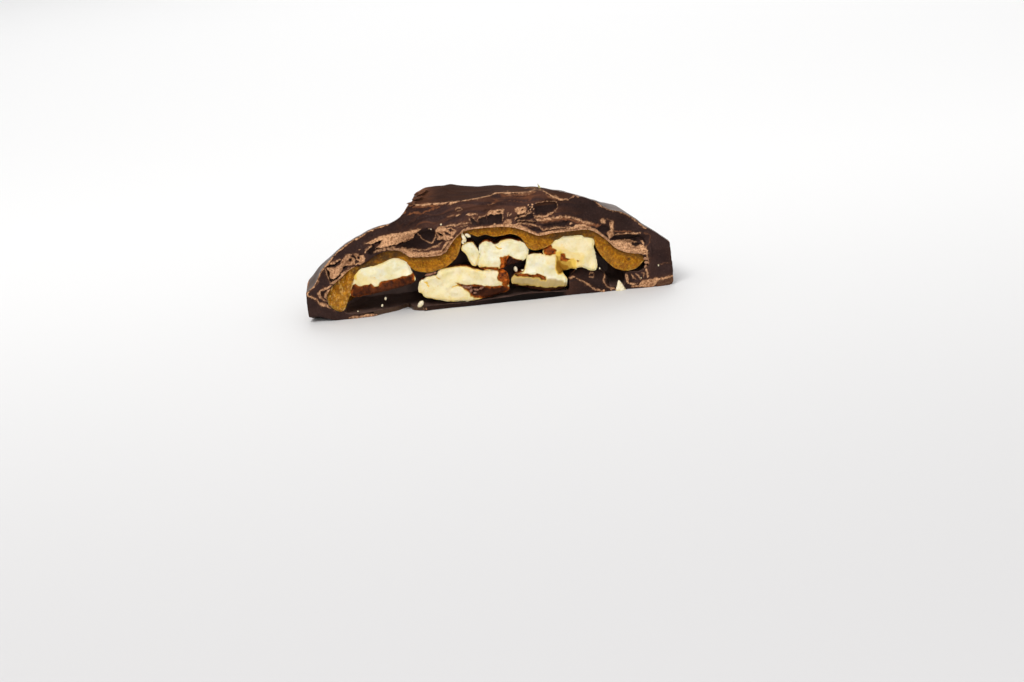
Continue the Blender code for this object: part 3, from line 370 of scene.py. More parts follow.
# Cracks: half width, how far sunk, and the points each runs through
CRACKS = [
    (0.13, 0.35, [(-28.4, 9.35), (-27.2, 9.6), (-26.3, 9.95), (-25.7, 10.05)]),
    (0.12, 0.35, [(-28.45, 8.9), (-28.3, 8), (-28.1, 7), (-28, 6.5)]),
    (0.14, 0.4, [(-28, 7), (-27.2, 6.95), (-26.5, 7.4), (-26.1, 7.75)]),
    (0.1, 0.35, [(-23.9, 10.95), (-23.5, 10.4), (-23.1, 9.9)]),
    (0.22, 0.35, [(-25.5, 8.9), (-25.1, 9.1)]),
    (0.11, 0.45, [(-19.6, 12.1), (-19, 11.9), (-17.5, 12.05), (-16.2, 12.15), (-15.2, 12.2),
        (-14, 12.4), (-12.9, 12.9)]),
    (0.15, 0.3, [(-20, 12.85), (-19.2, 12.9), (-18.5, 13.1)]),
    (0.1, 0.3, [(-12.5, 14.05), (-12.3, 13.6), (-12.4, 13.2)]),
    (0.13, 0.4, [(-8.3, 13.4), (-7.9, 13.1), (-7.5, 12.9)]),
    (0.08, 0.25, [(-12.3, 10.15), (-11, 10), (-9.4, 10.05)]),
    (0.1, 0.3, [(-7.9, 10.4), (-7.3, 11), (-6.7, 11.7)]),
    (0.08, 0.25, [(-6.4, 11.9), (-5.6, 12.7), (-4.6, 13.4)]),
    (0.1, 0.3, [(5.6, 14.3), (7, 14.25), (8.2, 14.15), (9.1, 13.85)]),
    (0.08, 0.25, [(6.4, 13.95), (7.6, 13.75), (8.4, 13.4), (9.2, 12.95)]),
    (0.08, 0.25, [(10.4, 12.5), (12, 12.55), (13.5, 12.55), (15.2, 12.45)]),
    (0.07, 0.2, [(16.2, 12.5), (17, 12.55), (17.8, 12.2)]),
    (0.06, 0.2, [(22.6, 9), (24, 8.6), (25.3, 8.1), (26.8, 7.7)]),
    (0.06, 0.2, [(23, 8.4), (24.3, 7.9), (25.7, 7.55), (27.2, 7.3)]),
    (0.07, 0.2, [(20.2, 11), (20.9, 10.2), (21.6, 9.5), (22.3, 8.8)]),
    (0.25, 0.45, [(6.6, 16.55), (6.8, 16.55)]),
    (0.16, 0.3, [(2.3, 16.5), (2.9, 16.45)]),
    (0.12, 0.3, [(21.1, 10.7), (21.3, 10.3)]),
    (0.12, 0.2, [(8, 16.3), (8.1, 17.1)]),
    (0.1, 0.25, [(27.3, 9.9), (27.6, 9.4), (27.9, 8.6)]),
]
# Small raised grains on the broken face: x, z and radius
GRAINS = [
    (7.9, 17.2, 0.14), (8.1, 16.9, 0.12), (8.6, 17.25, 0.17), (8.5, 16.8, 0.16), (8.75, 16.4, 0.14),
    (8.2, 16.45, 0.14), (7.8, 16.2, 0.13), (7.3, 15.9, 0.15), (6.9, 15.4, 0.14), (6, 15.9, 0.17),
    (7.4, 16.6, 0.15), (13.9, 17.6, 0.16), (14.6, 17.65, 0.16), (12.9, 18.1, 0.16), (1.7, 14.25, 0.24),
    (-16, 10.6, 0.16), (-22, 10.4, 0.14), (8.7, 15.6, 0.12), (19.7, 16.9, 0.16), (28, 2.6, 0.18),
    (-7.7, 15.05, 0.17), (-9.9, 14.45, 0.1), (4.4, 20, 0.14), (20, 0.7, 0.18),
]
# The nuts' broken faces, each from its left side over the top
PECAN_OUTLINES = {
    "pecan_left": [
        (-24.1, 6), (-23.9, 6.8), (-23.3, 7.6), (-22.6, 8.2), (-21.5, 8.5), (-20.3, 8.6), (-19.2, 8.8),
        (-18.2, 9.15), (-17.3, 9.5), (-16.3, 9.65), (-15.3, 9.4), (-14.5, 8.8), (-14, 8), (-13.8, 7.2),
        (-13.4, 6.4), (-13.2, 5.6), (-13.7, 5), (-14.6, 4.7), (-16, 4.4), (-18, 4.1), (-20, 3.8),
        (-22, 3.5), (-24.2, 3.3), (-24.8, 3.8), (-24.5, 4.7), (-24.2, 5.4),
    ],
    "pecan_lower": [
        (-12.7, 3.3), (-12.7, 4), (-12.45, 4.7), (-12.1, 5.2), (-11.5, 5.35), (-11.2, 5.65),
        (-10.6, 5.7), (-10, 5.85), (-9.4, 5.85), (-9.1, 6.3), (-8.9, 6.65), (-8.2, 6.9), (-7.2, 7),
        (-5.6, 7.05), (-4, 6.95), (-3.3, 6.7), (-2.4, 6.35), (-1, 5.95), (0.4, 5.85), (2.2, 5.85),
        (2.9, 5.5), (3.25, 4.9), (3.35, 4.1), (3.25, 3.2), (3.1, 2.2), (1.6, 1.6), (-0.2, 1.25),
        (-2, 1.05), (-3.4, 0.95), (-6, 1), (-8, 1.25), (-9.5, 1.65), (-10.7, 2), (-11.5, 2.2),
        (-11.9, 2.6), (-12.1, 3),
    ],
    "pecan_small": [
        (-4.15, 11), (-3.4, 11.3), (-2.4, 11.1), (-2, 10.4), (-1.6, 9.7), (-1.5, 9), (-1.7, 8.3),
        (-2, 7.6), (-2.3, 7.1), (-2.7, 7.25), (-3.2, 7.9), (-3.5, 8.7), (-3.9, 9.7), (-4.35, 10.2),
    ],
    "pecan_upper": [
        (-1.2, 10.4), (-0.8, 10.95), (-0.1, 11.2), (0.6, 10.9), (1.1, 10.5), (1.9, 10.5), (2.6, 10.95),
        (3.4, 11.2), (4.2, 11.1), (5.2, 10.9), (6.1, 10.6), (6.7, 10), (7.1, 9.2), (7.15, 8.4),
        (6.8, 7.7), (6.2, 7.3), (5.6, 7.2), (4.6, 6.9), (3.4, 6.6), (2.6, 6.3), (1.5, 6.1), (0.4, 6.1),
        (-0.8, 6.35), (-1.6, 6.9), (-1.95, 7.3), (-1.6, 8), (-1.3, 8.8), (-1.35, 9.6),
    ],
    "pecan_mid": [
        (7.05, 7.9), (7.6, 8.15), (9, 8.05), (10, 7.85), (11.7, 7.6), (12, 7.3), (12.1, 6.6),
        (12.5, 5.3), (12.8, 5), (12.9, 4.5), (13.2, 3.9), (13.55, 3.3), (13.35, 2.2), (12.7, 1.6),
        (10.1, 1.5), (7.9, 2), (5.8, 2.6), (4.4, 2.9), (3.85, 3.9), (4.3, 4.5), (5, 4.8), (6, 5.1),
        (6.4, 5.8), (6.8, 7.1),
    ],
    "pecan_right": [
        (10.4, 9), (11.2, 9.5), (11.8, 10), (12.2, 10.35), (12.8, 10.45), (13.2, 10.75), (14, 10.95),
        (16, 10.85), (16.8, 10.75), (17.3, 10.35), (18.6, 10.15), (18.9, 9.7), (18.7, 8.8), (19, 7),
        (19.1, 5.2), (19, 4.7), (18.6, 4.5), (17.9, 4.55), (17, 5), (16.2, 5.3), (15.3, 5.1),
        (14.5, 5.15), (13.3, 4.9), (12.7, 5.2), (12.3, 6.5), (12.2, 7.4), (11.6, 7.8), (10.2, 7.9),
        (9.9, 8.6),
    ],
}
# Where brown skin shows on the nuts' broken faces: how far sunk, how dark its painted shade is, and the
# outline
NUT_SKINS = [
    (0.35, 0.85, [(-24.6, 5.6), (-23.75, 5.75), (-23.25, 5.25), (-22.75, 5.1), (-22, 5.5), (-21, 5.5),
        (-20.5, 5.1), (-19.6, 5.1), (-19.1, 5.6), (-18, 5.9), (-16, 6.1), (-14.5, 6.4), (-13.2, 6.9),
        (-13.2, 3), (-24.8, 3)]),
    (0.25, 0.1, [(1.6, 6.2), (1.8, 5.3), (1.3, 4.6), (1.5, 4.1), (2.1, 3.7), (2.2, 3.1), (2.6, 2.9),
        (3.6, 3), (3.6, 5.5), (2.6, 6.2)]),
    (0.15, 0.1, [(-2.6, 6.75), (-1.2, 6.3), (1, 6), (1.8, 5.8), (1.8, 6.4), (-1, 6.8)]),
    (0.5, 0.95, [(-5.9, 4.4), (-5.4, 4.1), (-4.8, 3.8), (-3.2, 3.75), (-1.5, 3.4), (0.5, 3.1),
        (2.9, 2.95), (3.6, 2), (1.5, 0.8), (-1, 0.7), (-2.9, 1.2), (-3.6, 1.7), (-3.9, 2.6), (-4.6, 3),
        (-5.2, 3.5)]),
    (0.2, 0, [(2, 6.2), (2.1, 7.2), (2.2, 8.1), (2.9, 8.5), (3.9, 8.4), (3.8, 7.8), (3.2, 7.2),
        (3, 6)]),
    (0.6, 2.5, [(3, 7.6), (3.9, 8.2), (5.1, 7.6), (6, 7.3), (5, 6.2), (2.8, 5.9)]),
    (0.45, 0.6, [(4.6, 4.95), (5.5, 4.95), (6.5, 4.75), (8.2, 4.5), (8.4, 4.8), (8.8, 4.5), (9.9, 4.1),
        (9.8, 3.5), (9.2, 3.5), (8.5, 3.9), (6.5, 4.3), (4.5, 4.6)]),
    (0.3, 0.5, [(4, 3.3), (6, 2.75), (8, 2.55), (10, 2.1), (13.4, 1.9), (13.4, 1.2), (4, 1.2)]),
    (0.35, 0.6, [(9.8, 9), (10.8, 9.8), (11.2, 9.65), (11.5, 8.95), (12.1, 8.95), (12.35, 8.5),
        (12, 7.8), (10.2, 7.8)]),
    (0.4, 0.35, [(12.9, 7.9), (13.5, 7.95), (13.9, 7.2), (14.4, 6.6), (13.65, 6.35), (12.7, 6.6),
        (12.75, 7.3)]),
    (0.3, 0.6, [(15.75, 6.6), (16.05, 6.45), (16, 6.2), (15.75, 6.3)]),
]
# Deep yellow flesh: strength and outline
AMBER_FLESH = [
    (0.32, [(11.2, 9.8), (13, 9.9), (14.8, 8.8), (16, 8.4), (17.4, 7.4), (17.2, 4.4), (13.5, 3.8),
        (11.4, 4.8), (11, 7.4)]),
    (0.62, [(11.4, 8.9), (12.8, 8.7), (14.4, 7.2), (15.4, 7.3), (16.2, 6.6), (16, 4.6), (13.5, 4),
        (11.4, 4.8)]),
    (0.76, [(11.4, 7.9), (12.7, 8), (13.9, 7), (15.1, 6.7), (15.4, 5.4), (15, 4.2), (12.8, 4),
        (11.4, 5)]),
    (0.92, [(11.4, 7), (12.6, 7.3), (13.4, 6.4), (14.3, 6), (14.6, 5.2), (14, 3.8), (12.4, 3.6),
        (11.4, 4.6)]),
    (0.2, [(-25, 8.2), (-22.6, 8.6), (-21.4, 7.4), (-19.6, 6.4), (-18.6, 5), (-25, 4.6)]),
    (0.14, [(-20.4, 7), (-16, 7.2), (-14, 8.4), (-13.2, 7), (-15, 5.8), (-18.6, 5.2)]),
    (0.22, [(-16, 6.2), (-14.2, 6.6), (-13.9, 7.8), (-15.2, 7.9)]),
    (0.45, [(11.2, 7.3), (12.1, 7.4), (12.8, 4.8), (12, 4.7)]),
    (0.58, [(-25, 6.4), (-24.4, 8.4), (-22.6, 9.2), (-20, 9.5), (-17.5, 10.3), (-17.5, 9.4), (-20, 8.5),
        (-22, 8), (-23, 7), (-23.4, 6)]),
    (0.34, [(-2, 7.8), (-0.4, 7), (1.6, 6.8), (1.6, 5.6), (-2, 6)]),
    (0.26, [(-13.2, 5.2), (-11.8, 4.2), (-10.8, 3), (-8, 2.3), (-4, 1.9), (-4, 0.6), (-9, 0.8),
        (-13.4, 2.2)]),
    (0.46, [(11.5, 8), (12.4, 7.6), (13.4, 5.4), (14.1, 3.6), (12.9, 3.2), (12.1, 5), (11.4, 6.6)]),
    (0.25, [(17.6, 8.9), (18.6, 8.8), (18.6, 5.6), (17.5, 6)]),
    (0.2, [(9.6, 11.6), (19.8, 11.6), (19.9, 4), (12.2, 4), (9.6, 7.4)]),
    (0.17, [(-13.4, 7.6), (3.6, 7.6), (3.6, 2.8), (-4, 0.3), (-13.4, 0.6)]),
    (0.25, [(-3.4, 9), (-2.4, 9.6), (-1.8, 9), (-2.3, 7.4), (-3, 8)]),
    (0.2, [(-7.6, 6.6), (-5.4, 6.7), (-5.2, 5.9), (-7, 5.8)]),
    (0.35, [(-7.2, 3.9), (-5.8, 4.5), (-4.6, 3.4), (-5.6, 3.2)]),
    (0.35, [(12.6, 10.4), (14, 10), (13, 8.9), (12, 9.3)]),
    (0.8, [(-4, 7.3), (-2.6, 6.75), (-1.2, 6.3), (1.2, 5.9), (1.2, 5.6), (-1.4, 5.8), (-3, 6.4),
        (-4.2, 6.9)]),
]
# Flesh in the shade
DIM_FLESH = [
    (0.8, [(3.4, 4.9), (4.5, 4.8), (6.5, 4.5), (8.5, 4.1), (9.8, 3.7), (11.4, 3.5), (12.8, 3),
        (14, 2.4), (13.2, 1), (8, 1.6), (3.4, 2.6)]),
    (0.95, [(3.4, 3.6), (5.5, 3.4), (8, 2.9), (10, 2.4), (13.6, 2.2), (13.2, 1), (8, 1.6), (3.4, 2.6)]),
]
# Creases in the flesh: half width, how far sunk, and the points each runs through
NUT_CREASES = [
    (0.08, 0.25, [(-6.9, 3.65), (-6.4, 3.85), (-5.8, 3.95), (-5.3, 3.9)]),
    (0.1, 0.2, [(1.4, 10.4), (2, 9.9), (2.9, 9.8)]),
    (0.1, 0.2, [(-9.4, 6.1), (-9.2, 5.5), (-8.6, 5.2)]),
    (0.08, 0.2, [(12.3, 4.3), (12.7, 4.6), (13, 4.5)]),
    (0.12, 0.15, [(-11.6, 5.2), (-11, 4.7), (-10.8, 4)]),
]


def level_point(x, z):
    """A drawn point turned so that the base's underside runs level."""
    turn, rise = math.cos(DRAWING_TILT), math.sin(DRAWING_TILT)
    return x * turn + z * rise, z * turn - x * rise


def levelled(points):
    return [level_point(x, z) for x, z in points]


def drawn(x, z):
    """Where levelled places lie on the drawing sheet: the way back from level_point."""
    turn, rise = math.cos(DRAWING_TILT), math.sin(DRAWING_TILT)
    return x * turn - z * rise, z * turn + x * rise


def curve_through(points, closed=False, steps=8):
    """Points along a smooth curve through the given ones, by centripetal Catmull-Rom."""
    given = np.array(points, float)
    count = len(given)
    if closed:
        padded = np.vstack([given[-1], given, given[0], given[1]])
    else:
        padded = np.vstack([2 * given[0] - given[1], given, 2 * given[-1] - given[-2]])
    found = []
    for i in range(count if closed else count - 1):
        p0, p1, p2, p3 = padded[i : i + 4]
        t1 = math.sqrt(np.linalg.norm(p1 - p0))
        t2 = t1 + math.sqrt(np.linalg.norm(p2 - p1))
        t3 = t2 + math.sqrt(np.linalg.norm(p3 - p2))
        for t in np.linspace(t1, t2, steps, endpoint=False):
            a1 = (t1 - t) / t1 * p0 + t / t1 * p1
            a2 = (t2 - t) / (t2 - t1) * p1 + (t - t1) / (t2 - t1) * p2
            a3 = (t3 - t) / (t3 - t2) * p2 + (t - t2) / (t3 - t2) * p3
            b1 = (t2 - t) / t2 * a1 + t / t2 * a2
            b2 = (t3 - t) / (t3 - t1) * a2 + (t - t1) / (t3 - t1) * a3
            found.append((t2 - t) / (t2 - t1) * b1 + (t - t1) / (t2 - t1) * b2)
    if not closed:
        found.append(given[-1])
    return np.array(found)


def lengths_along(line):
    """How far along a line of points each one is."""
    return np.concatenate([[0], np.cumsum(np.linalg.norm(np.diff(line, axis=0), axis=1))])


def even_loop(points, count):
    """The closed curve through drawn points, levelled, as count points an equal way apart."""
    fine = curve_through(levelled(points), closed=True)
    fine = np.vstack([fine, fine[0]])
    along = lengths_along(fine)
    wanted = np.linspace(0, along[-1], count, endpoint=False)
    return np.column_stack([np.interp(wanted, along, fine[:, k]) for k in (0, 1)])


def widened(loop, distance):
    """The loop moved outwards by the distance. It runs clockwise, seen from the front."""
    along = np.roll(loop, -1, axis=0) - np.roll(loop, 1, axis=0)
    along /= np.linalg.norm(along, axis=1)[:, None]
    sideways = np.column_stack([-along[:, 1], along[:, 0]])
    return loop + sideways * np.reshape(distance, (-1, 1))


def height_over(points):
    """A function that reads the smooth curve's second value at first values."""
    fine = curve_through(points)
    return lambda value: np.interp(value, fine[:, 0], fine[:, 1])


def smooth_step(value):
    value = np.clip(value, 0, 1)
    return value * value * (3 - 2 * value)


def between(value, low, high):
    return (value > low) & (value < high)


def grid_of(firsts, seconds):
    """Both coordinates of a grid's places."""
    return np.meshgrid(firsts, seconds, indexing="ij")


def noise(size, seed, *coordinates):
    """Smooth random values from -1 to 1 over places, changing over about one size."""
    cells, parts = [], []
    for value in coordinates:
        scaled = np.asarray(value, float) / size
        whole = np.floor(scaled)
        cells.append(whole.astype(np.int64))
        parts.append(smooth_step(scaled - whole))
    total = 0.0
    for corner in itertools.product((0, 1), repeat=len(cells)):
        mixed = np.zeros(cells[0].shape, np.int64) + (seed * 7919 + 1013)
        weight = 1.0
        for cell, part, step, factor in zip(cells, parts, corner, (73856093, 19349663, 83492791)):
            mixed = mixed ^ (((cell + step) * factor) & 0xFFFFFFFF)
            weight = weight * (part if step else 1 - part)
        mixed = ((mixed ^ (mixed >> 15)) * 2246822519) & 0xFFFFFFFF
        mixed = ((mixed ^ (mixed >> 13)) * 3266489917) & 0xFFFFFFFF
        mixed = mixed ^ (mixed >> 16)
        total = total + weight * ((mixed & 0xFFFF) / 32767.5 - 1)
    return total


def layered_noise(size, seed, *coordinates):
    """Noise with finer and weaker noise on top."""
    total = noise(size, seed, *coordinates)
    total = total + 0.5 * noise(size / 2.1, seed + 1, *coordinates)
    return (total + 0.25 * noise(size / 4.3, seed + 2, *coordinates)) / 1.4


def in_box(x, z, points, reach):
    """Which places lie in the box round the points, or within reach of it."""
    low, high = points.min(axis=0) - reach, points.max(axis=0) + reach
    return between(x, low[0], high[0]) & between(z, low[1], high[1])


def off_segment(x, z, start, end):
    """How far places are from a straight piece, and the share of it that they are beside."""
    (ax, az), (bx, bz) = start, end
    span = max((bx - ax) ** 2 + (bz - az) ** 2, 1e-12)
    share = np.clip(((x - ax) * (bx - ax) + (z - az) * (bz - az)) / span, 0, 1)
    return np.hypot(x - ax - share * (bx - ax), z - az - share * (bz - az)), share


def near_line(x, z, points, half_width):
    """How strongly a line covers places, from 0 to 1. It thins towards its ends."""
    cover = np.zeros(np.shape(x))
    line = curve_through(points, steps=4) if len(points) > 2 else np.array(points, float)
    near = in_box(x, z, line, 2.0 * half_width)
    px, pz = x[near], z[near]
    lengths = lengths_along(line)
    best = np.full(px.shape, FAR)
    best_along = np.zeros(px.shape)
    for first, second, start, end in zip(line, line[1:], lengths, lengths[1:]):
        off, share = off_segment(px, pz, first, second)
        closer = off < best
        best = np.where(closer, off, best)
        best_along = np.where(closer, start + share * (end - start), best_along)
    from_end = np.minimum(best_along, lengths[-1] - best_along)
    width = half_width * (0.45 + 0.55 * smooth_step(from_end / (3.0 * half_width)))
    width = width * (1 + 0.35 * noise(0.55, 61, px, pz) + 0.25 * noise(0.24, 62, px, pz))
    cover[near] = smooth_step((1.40 * width - best) / (0.7 * width))
    return cover


def inside_of(x, z, outline, softness=0.08):
    """How far inside a closed outline places are, from 0 outside to 1 inside."""
    corners = np.array(outline, float)
    cover = np.zeros(np.shape(x))
    near = in_box(x, z, corners, softness)
    px, pz = x[near], z[near]
    within = np.zeros(px.shape, bool)
    edge = np.full(px.shape, FAR)
    for (ax, az), (bx, bz) in zip(corners, np.roll(corners, -1, axis=0)):
        slope = (bx - ax) / (bz - az) if bz != az else 0.0
        within ^= ((az > pz) != (bz > pz)) & (px < ax + (pz - az) * slope)
        edge = np.minimum(edge, off_segment(px, pz, (ax, az), (bx, bz))[0])
    cover[near] = smooth_step(0.5 + np.where(within, edge, -edge) / (2 * softness))
    return cover


def near_edge_of(x, z, outline, reach):
    """1 on a closed outline, falling to 0 at the reach inside it."""
    return 1 - smooth_step(2 * inside_of(x, z, outline, reach) - 1)


skin_at_break = height_over(levelled(SKIN_AT_BREAK))
left_dome = height_over(LEFT_DOME)
right_dome = height_over(RIGHT_DOME)
chip_line = height_over(levelled(CHIP_LINE))
chip_depth = height_over(CHIP_DEPTH)
dome_fall = height_over(DOME_FALL)
caramel_top = height_over(levelled(CARAMEL_TOP))


def dome_height(x, back):
    """Height of the dome behind the break, as if its top had not chipped away."""
    out = np.hypot(x, back)
    rightness = 0.5 + 0.5 * x / np.maximum(out, 0.01)
    dome = rightness * right_dome(out) + (1 - rightness) * left_dome(out)
    pecans_under = 0.5 * np.sin(0.31 * x + 0.9) * np.sin(0.27 * back + 0.4)
    pecans_under += 0.2 * np.sin(0.62 * x - 0.38 * back + 1.7)
    dome = dome + pecans_under * smooth_step((DISC_RADIUS - 1.5 - out) / 12.0)
    near_break = 1 - smooth_step((back - 6.0) / 16.0)
    dome = dome - dome_fall(x) * near_break * smooth_step((DISC_RADIUS - 0.5 - out) / 3.0)
    swirl = noise(6.5, 31, x + 0.4 * back, back - 0.2 * x)
    ripple = np.sin(1.15 * back - 0.22 * x + 2.6 * swirl)
    inner = smooth_step((DISC_RADIUS - 1.0 - out) / 6.0)
    dome = dome + inner * (0.08 * ripple + 0.08 * noise(3.4, 32, x, back))
    return dome + 0.02 * noise(0.8, 33, x, back)


def skin_height(x, depth):
    """Height of the shell's top at places, with the chip at the front taken out of the dome."""
    back = np.maximum(depth, 0.0)
    in_chip = between(x, CHIP_LINE[0][0], CHIP_LINE[-1][0])
    chip_back = np.where(in_chip, chip_depth(x), 0.0)
    chip_back = chip_back * (1 + 0.16 * noise(1.6, 34, x, 0 * x))
    to_dome = smooth_step((back - chip_back) / 6.0)
    height = (1 - to_dome) * skin_at_break(x) + to_dome * dome_height(x, back)
    rise = smooth_step(back / np.maximum(chip_back, 0.01)) ** 0.8
    front = chip_line(x)
    layers = 0.10 * layered_noise(1.1, 35, 0.35 * x, back * 2.2) * smooth_step(back / 0.8)
    chipped = np.minimum(height, front + (height - front) * rise + layers)
    return np.where(in_chip & (back < chip_back), chipped, height)


def above_caramel(x, z):
    """How far above the caramel's top places are, and the height of that top."""
    top = caramel_top(np.clip(x, CARAMEL_LEFT, CARAMEL_RIGHT))
    return z - top, top


def strata(x, z):
    """Streaks along the layers between the caramel's top and the outer skin, from -1 to 1."""
    above, top = above_caramel(x, z)
    level = above / np.maximum(skin_at_break(x) - top, 2.0)
    bend = 0.05 * noise(2.6, 41, x, z)
    broad = noise(0.055, 42, level + bend, x / 90.0)
    streaks = 0.6 * broad + 0.4 * noise(0.024, 43, level + bend, x / 160.0)
    thin = 1 - np.abs(noise(0.085, 44, level + 1.4 * bend, x / 70.0)) / 0.13
    return streaks, smooth_step(thin) * smooth_step(0.4 + 1.5 * noise(3.2, 45, x, 2.5 * z))


def plain_break(x, z):
    """Red-brown, dark and relief values of the broken face before its forms are drawn on it."""
    sheet_x, sheet_z = drawn(x, z)
    streaks, thin_layers = strata(x, z)
    layered = smooth_step((19.0 - np.abs(sheet_x - 1.0)) / 9.0)
    streaks, thin_layers = streaks * (0.3 + 0.7 * layered), thin_layers * layered
    rust = (0.03 + 0.19 * layered) * smooth_step(0.5 + 1.8 * streaks)
    rust = rust + 0.04 * noise(1.8, 56, sheet_x, sheet_z)
    # Painted shade: the low strip along the base's front, from about x -25 to 14 mm, is darkened.
    base_strip_shade = smooth_step((1.7 - sheet_z) / 0.6) * smooth_step((14.0 - sheet_x) / 1.5)
    base_strip_shade = base_strip_shade * smooth_step((sheet_x + 25.0) / 3.0)
    # The wings are darkened; on the right, where the light falls less, this is painted shade.
    wing = np.where(sheet_x < 0, 0.28, 0.46 - 0.26 * smooth_step((sheet_x - 24.0) / 3.0))
    wing = wing * smooth_step((np.abs(sheet_x - 1.0) - 9.0) / 6.0)
    dark = np.maximum(wing, (0.75 + 0.25 * smooth_step((sheet_x + 4.0) / 6.0)) * base_strip_shade)
    relief = -0.05 * streaks - 0.03 * thin_layers - 0.02 * noise(0.5, 57, sheet_x, sheet_z)
    return np.maximum(rust, 0.6 * thin_layers), dark, relief


def break_looks(x, z):
    """Pale, red-brown, dark and relief values of the broken face at levelled places."""
    sheet_x, sheet_z = drawn(x, z)
    rust, dark, relief = plain_break(x, z)
    wander_x = 0.14 * noise(0.65, 51, sheet_x, sheet_z) + 0.09 * noise(0.24, 52, sheet_x, sheet_z)
    wander_z = 0.11 * noise(0.60, 53, sheet_x, sheet_z) + 0.08 * noise(0.22, 54, sheet_x, sheet_z)
    px, pz = sheet_x + wander_x, sheet_z + wander_z
    grit = layered_noise(0.34, 55, sheet_x, sheet_z)
    blotch = layered_noise(1.2, 58, sheet_x, sheet_z)
    specks = smooth_step((layered_noise(0.42, 59, sheet_x, 1.3 * sheet_z) - 0.22) / 0.22)

    # The pale layer over the caramel
    ledge = inside_of(px, pz, LEDGE_UPPER_EDGE + LEDGE_LOWER_EDGE, 0.10)
    over_layer = above_caramel(x, z)[0] + 0.08 * noise(0.9, 63, x, z)
    layer_lines = smooth_step((noise(0.26, 64, over_layer, 0.09 * x) - 0.05) / 0.45)
    pale = np.maximum(0, ledge * (0.94 + 0.16 * grit + 0.22 * blotch - 0.42 * layer_lines))
    rust = np.maximum(rust, 0.7 * ledge)
    relief -= ledge * (0.12 + 0.12 * grit - 0.10 * layer_lines)

    # Scuffed areas and smooth hollows
    patch_lines = noise(0.30, 69, pz - 0.16 * px, 0.22 * px)
    mottled = 0.92 + 0.16 * grit + 0.22 * blotch + 0.22 * patch_lines
    for strength, proud, outline in TAN_PATCHES:
        cover = inside_of(px, pz, outline)
        around = strength * inside_of(px, pz, outline, 0.85)
        pale = np.maximum(pale, 0.60 * around * specks)
        rust = np.maximum(rust, 0.45 * around)
        pale = np.maximum(pale, cover * strength * mottled)
        rust = np.maximum(rust, 0.7 * cover * min(1.0, 1.6 * strength))
        relief -= cover * (proud + 0.10 * grit)
    for sunk, outline in DARK_PATCHES:
        cover = inside_of(px, pz, outline, 0.10)
        pale *= 1 - cover
        rust *= 1 - cover
        dark = np.maximum(dark, 0.50 * cover)
        relief += cover * sunk
    # Painted shade: darker low down on the lump and the base below it, in the space under the
    # right-hand nut.
    lump = smooth_step((sheet_x - 13.0) / 1.5) * smooth_step((23.5 - sheet_x) / 1.5)
    dark = np.maximum(dark, 0.20 * lump * smooth_step((5.0 - sheet_z) / 0.5))

    # Cracks, painted dark as shade, then ridges and grains
    for half_width, sunk, points in CRACKS:
        cover = near_line(px, pz, points, half_width) * min(1.0, (half_width / 0.12) ** 2)
        pale *= 1 - 0.9 * cover
        dark = np.maximum(dark, cover)
        relief += cover * sunk
    broken = np.clip(0.90 + 0.50 * grit, 0.2, 1.15)
    for half_width, strength, redness, points in RIDGES:
        cover = near_line(px, pz, points, 0.88 * half_width)
        around = near_line(px, pz, points, 2.4 * half_width) * strength * (1 - 0.75 * redness)
        pale = np.maximum(pale, 0.45 * around * specks)
        rust = np.maximum(rust, 0.28 * around)
        pale = np.maximum(pale, cover * strength * (1 - 0.75 * redness) * broken)
        rust = np.maximum(rust, cover * redness * broken)
        dark *= 1 - cover
        relief -= cover * 0.14 * broken
    for grain_x, grain_z, radius in GRAINS:
        off = np.hypot(sheet_x - grain_x, sheet_z - grain_z) / radius
        cover = smooth_step((1.2 - off) / 0.5)
        pale = np.maximum(pale, cover)
        relief -= cover * radius * 0.8
    return np.clip(pale, 0, 1), np.clip(rust, 0, 1), np.clip(dark, 0, 1), relief


def break_depth(x, z):
    """Depth of the broken face at levelled places."""
    above = (z - caramel_top(x) - 0.6) / LEDGE_HEIGHT
    sheet_x, sheet_z = drawn(x, z)
    depth = 0.12 * np.sin(0.55 * sheet_x + 0.8 * sheet_z)
    depth += 0.08 * np.sin(1.3 * sheet_z - 0.35 * sheet_x)
    for form_x, form_z, half_width, half_height, tilt, sunk in BREAK_FORMS:
        turn = math.radians(tilt)
        along = (sheet_x - form_x) * math.cos(turn) + (sheet_z - form_z) * math.sin(turn)
        across = (sheet_z - form_z) * math.cos(turn) - (sheet_x - form_x) * math.sin(turn)
        off = np.hypot(along / half_width, across / half_height)
        depth += sunk * smooth_step((1.25 - off) / 0.5)
    depth -= np.where(np.abs(sheet_x) < 29, LEDGE_PROUD * np.exp(-above * above), 0.0)
    return depth + break_looks(x, z)[3]


def new_object(name, vertices, faces):
    """A mesh object in millimetres, its faces turned outwards."""
    mesh = bpy.data.meshes.new(name)
    mesh.from_pydata(np.asarray(vertices, float).tolist(), [], faces)
    bm = bmesh.new()
    bm.from_mesh(mesh)
    bmesh.ops.recalc_face_normals(bm, faces=bm.faces)
    bm.to_mesh(mesh)
    bm.free()
    obj = bpy.data.objects.new(name, mesh)
    bpy.context.scene.collection.objects.link(obj)
    return obj


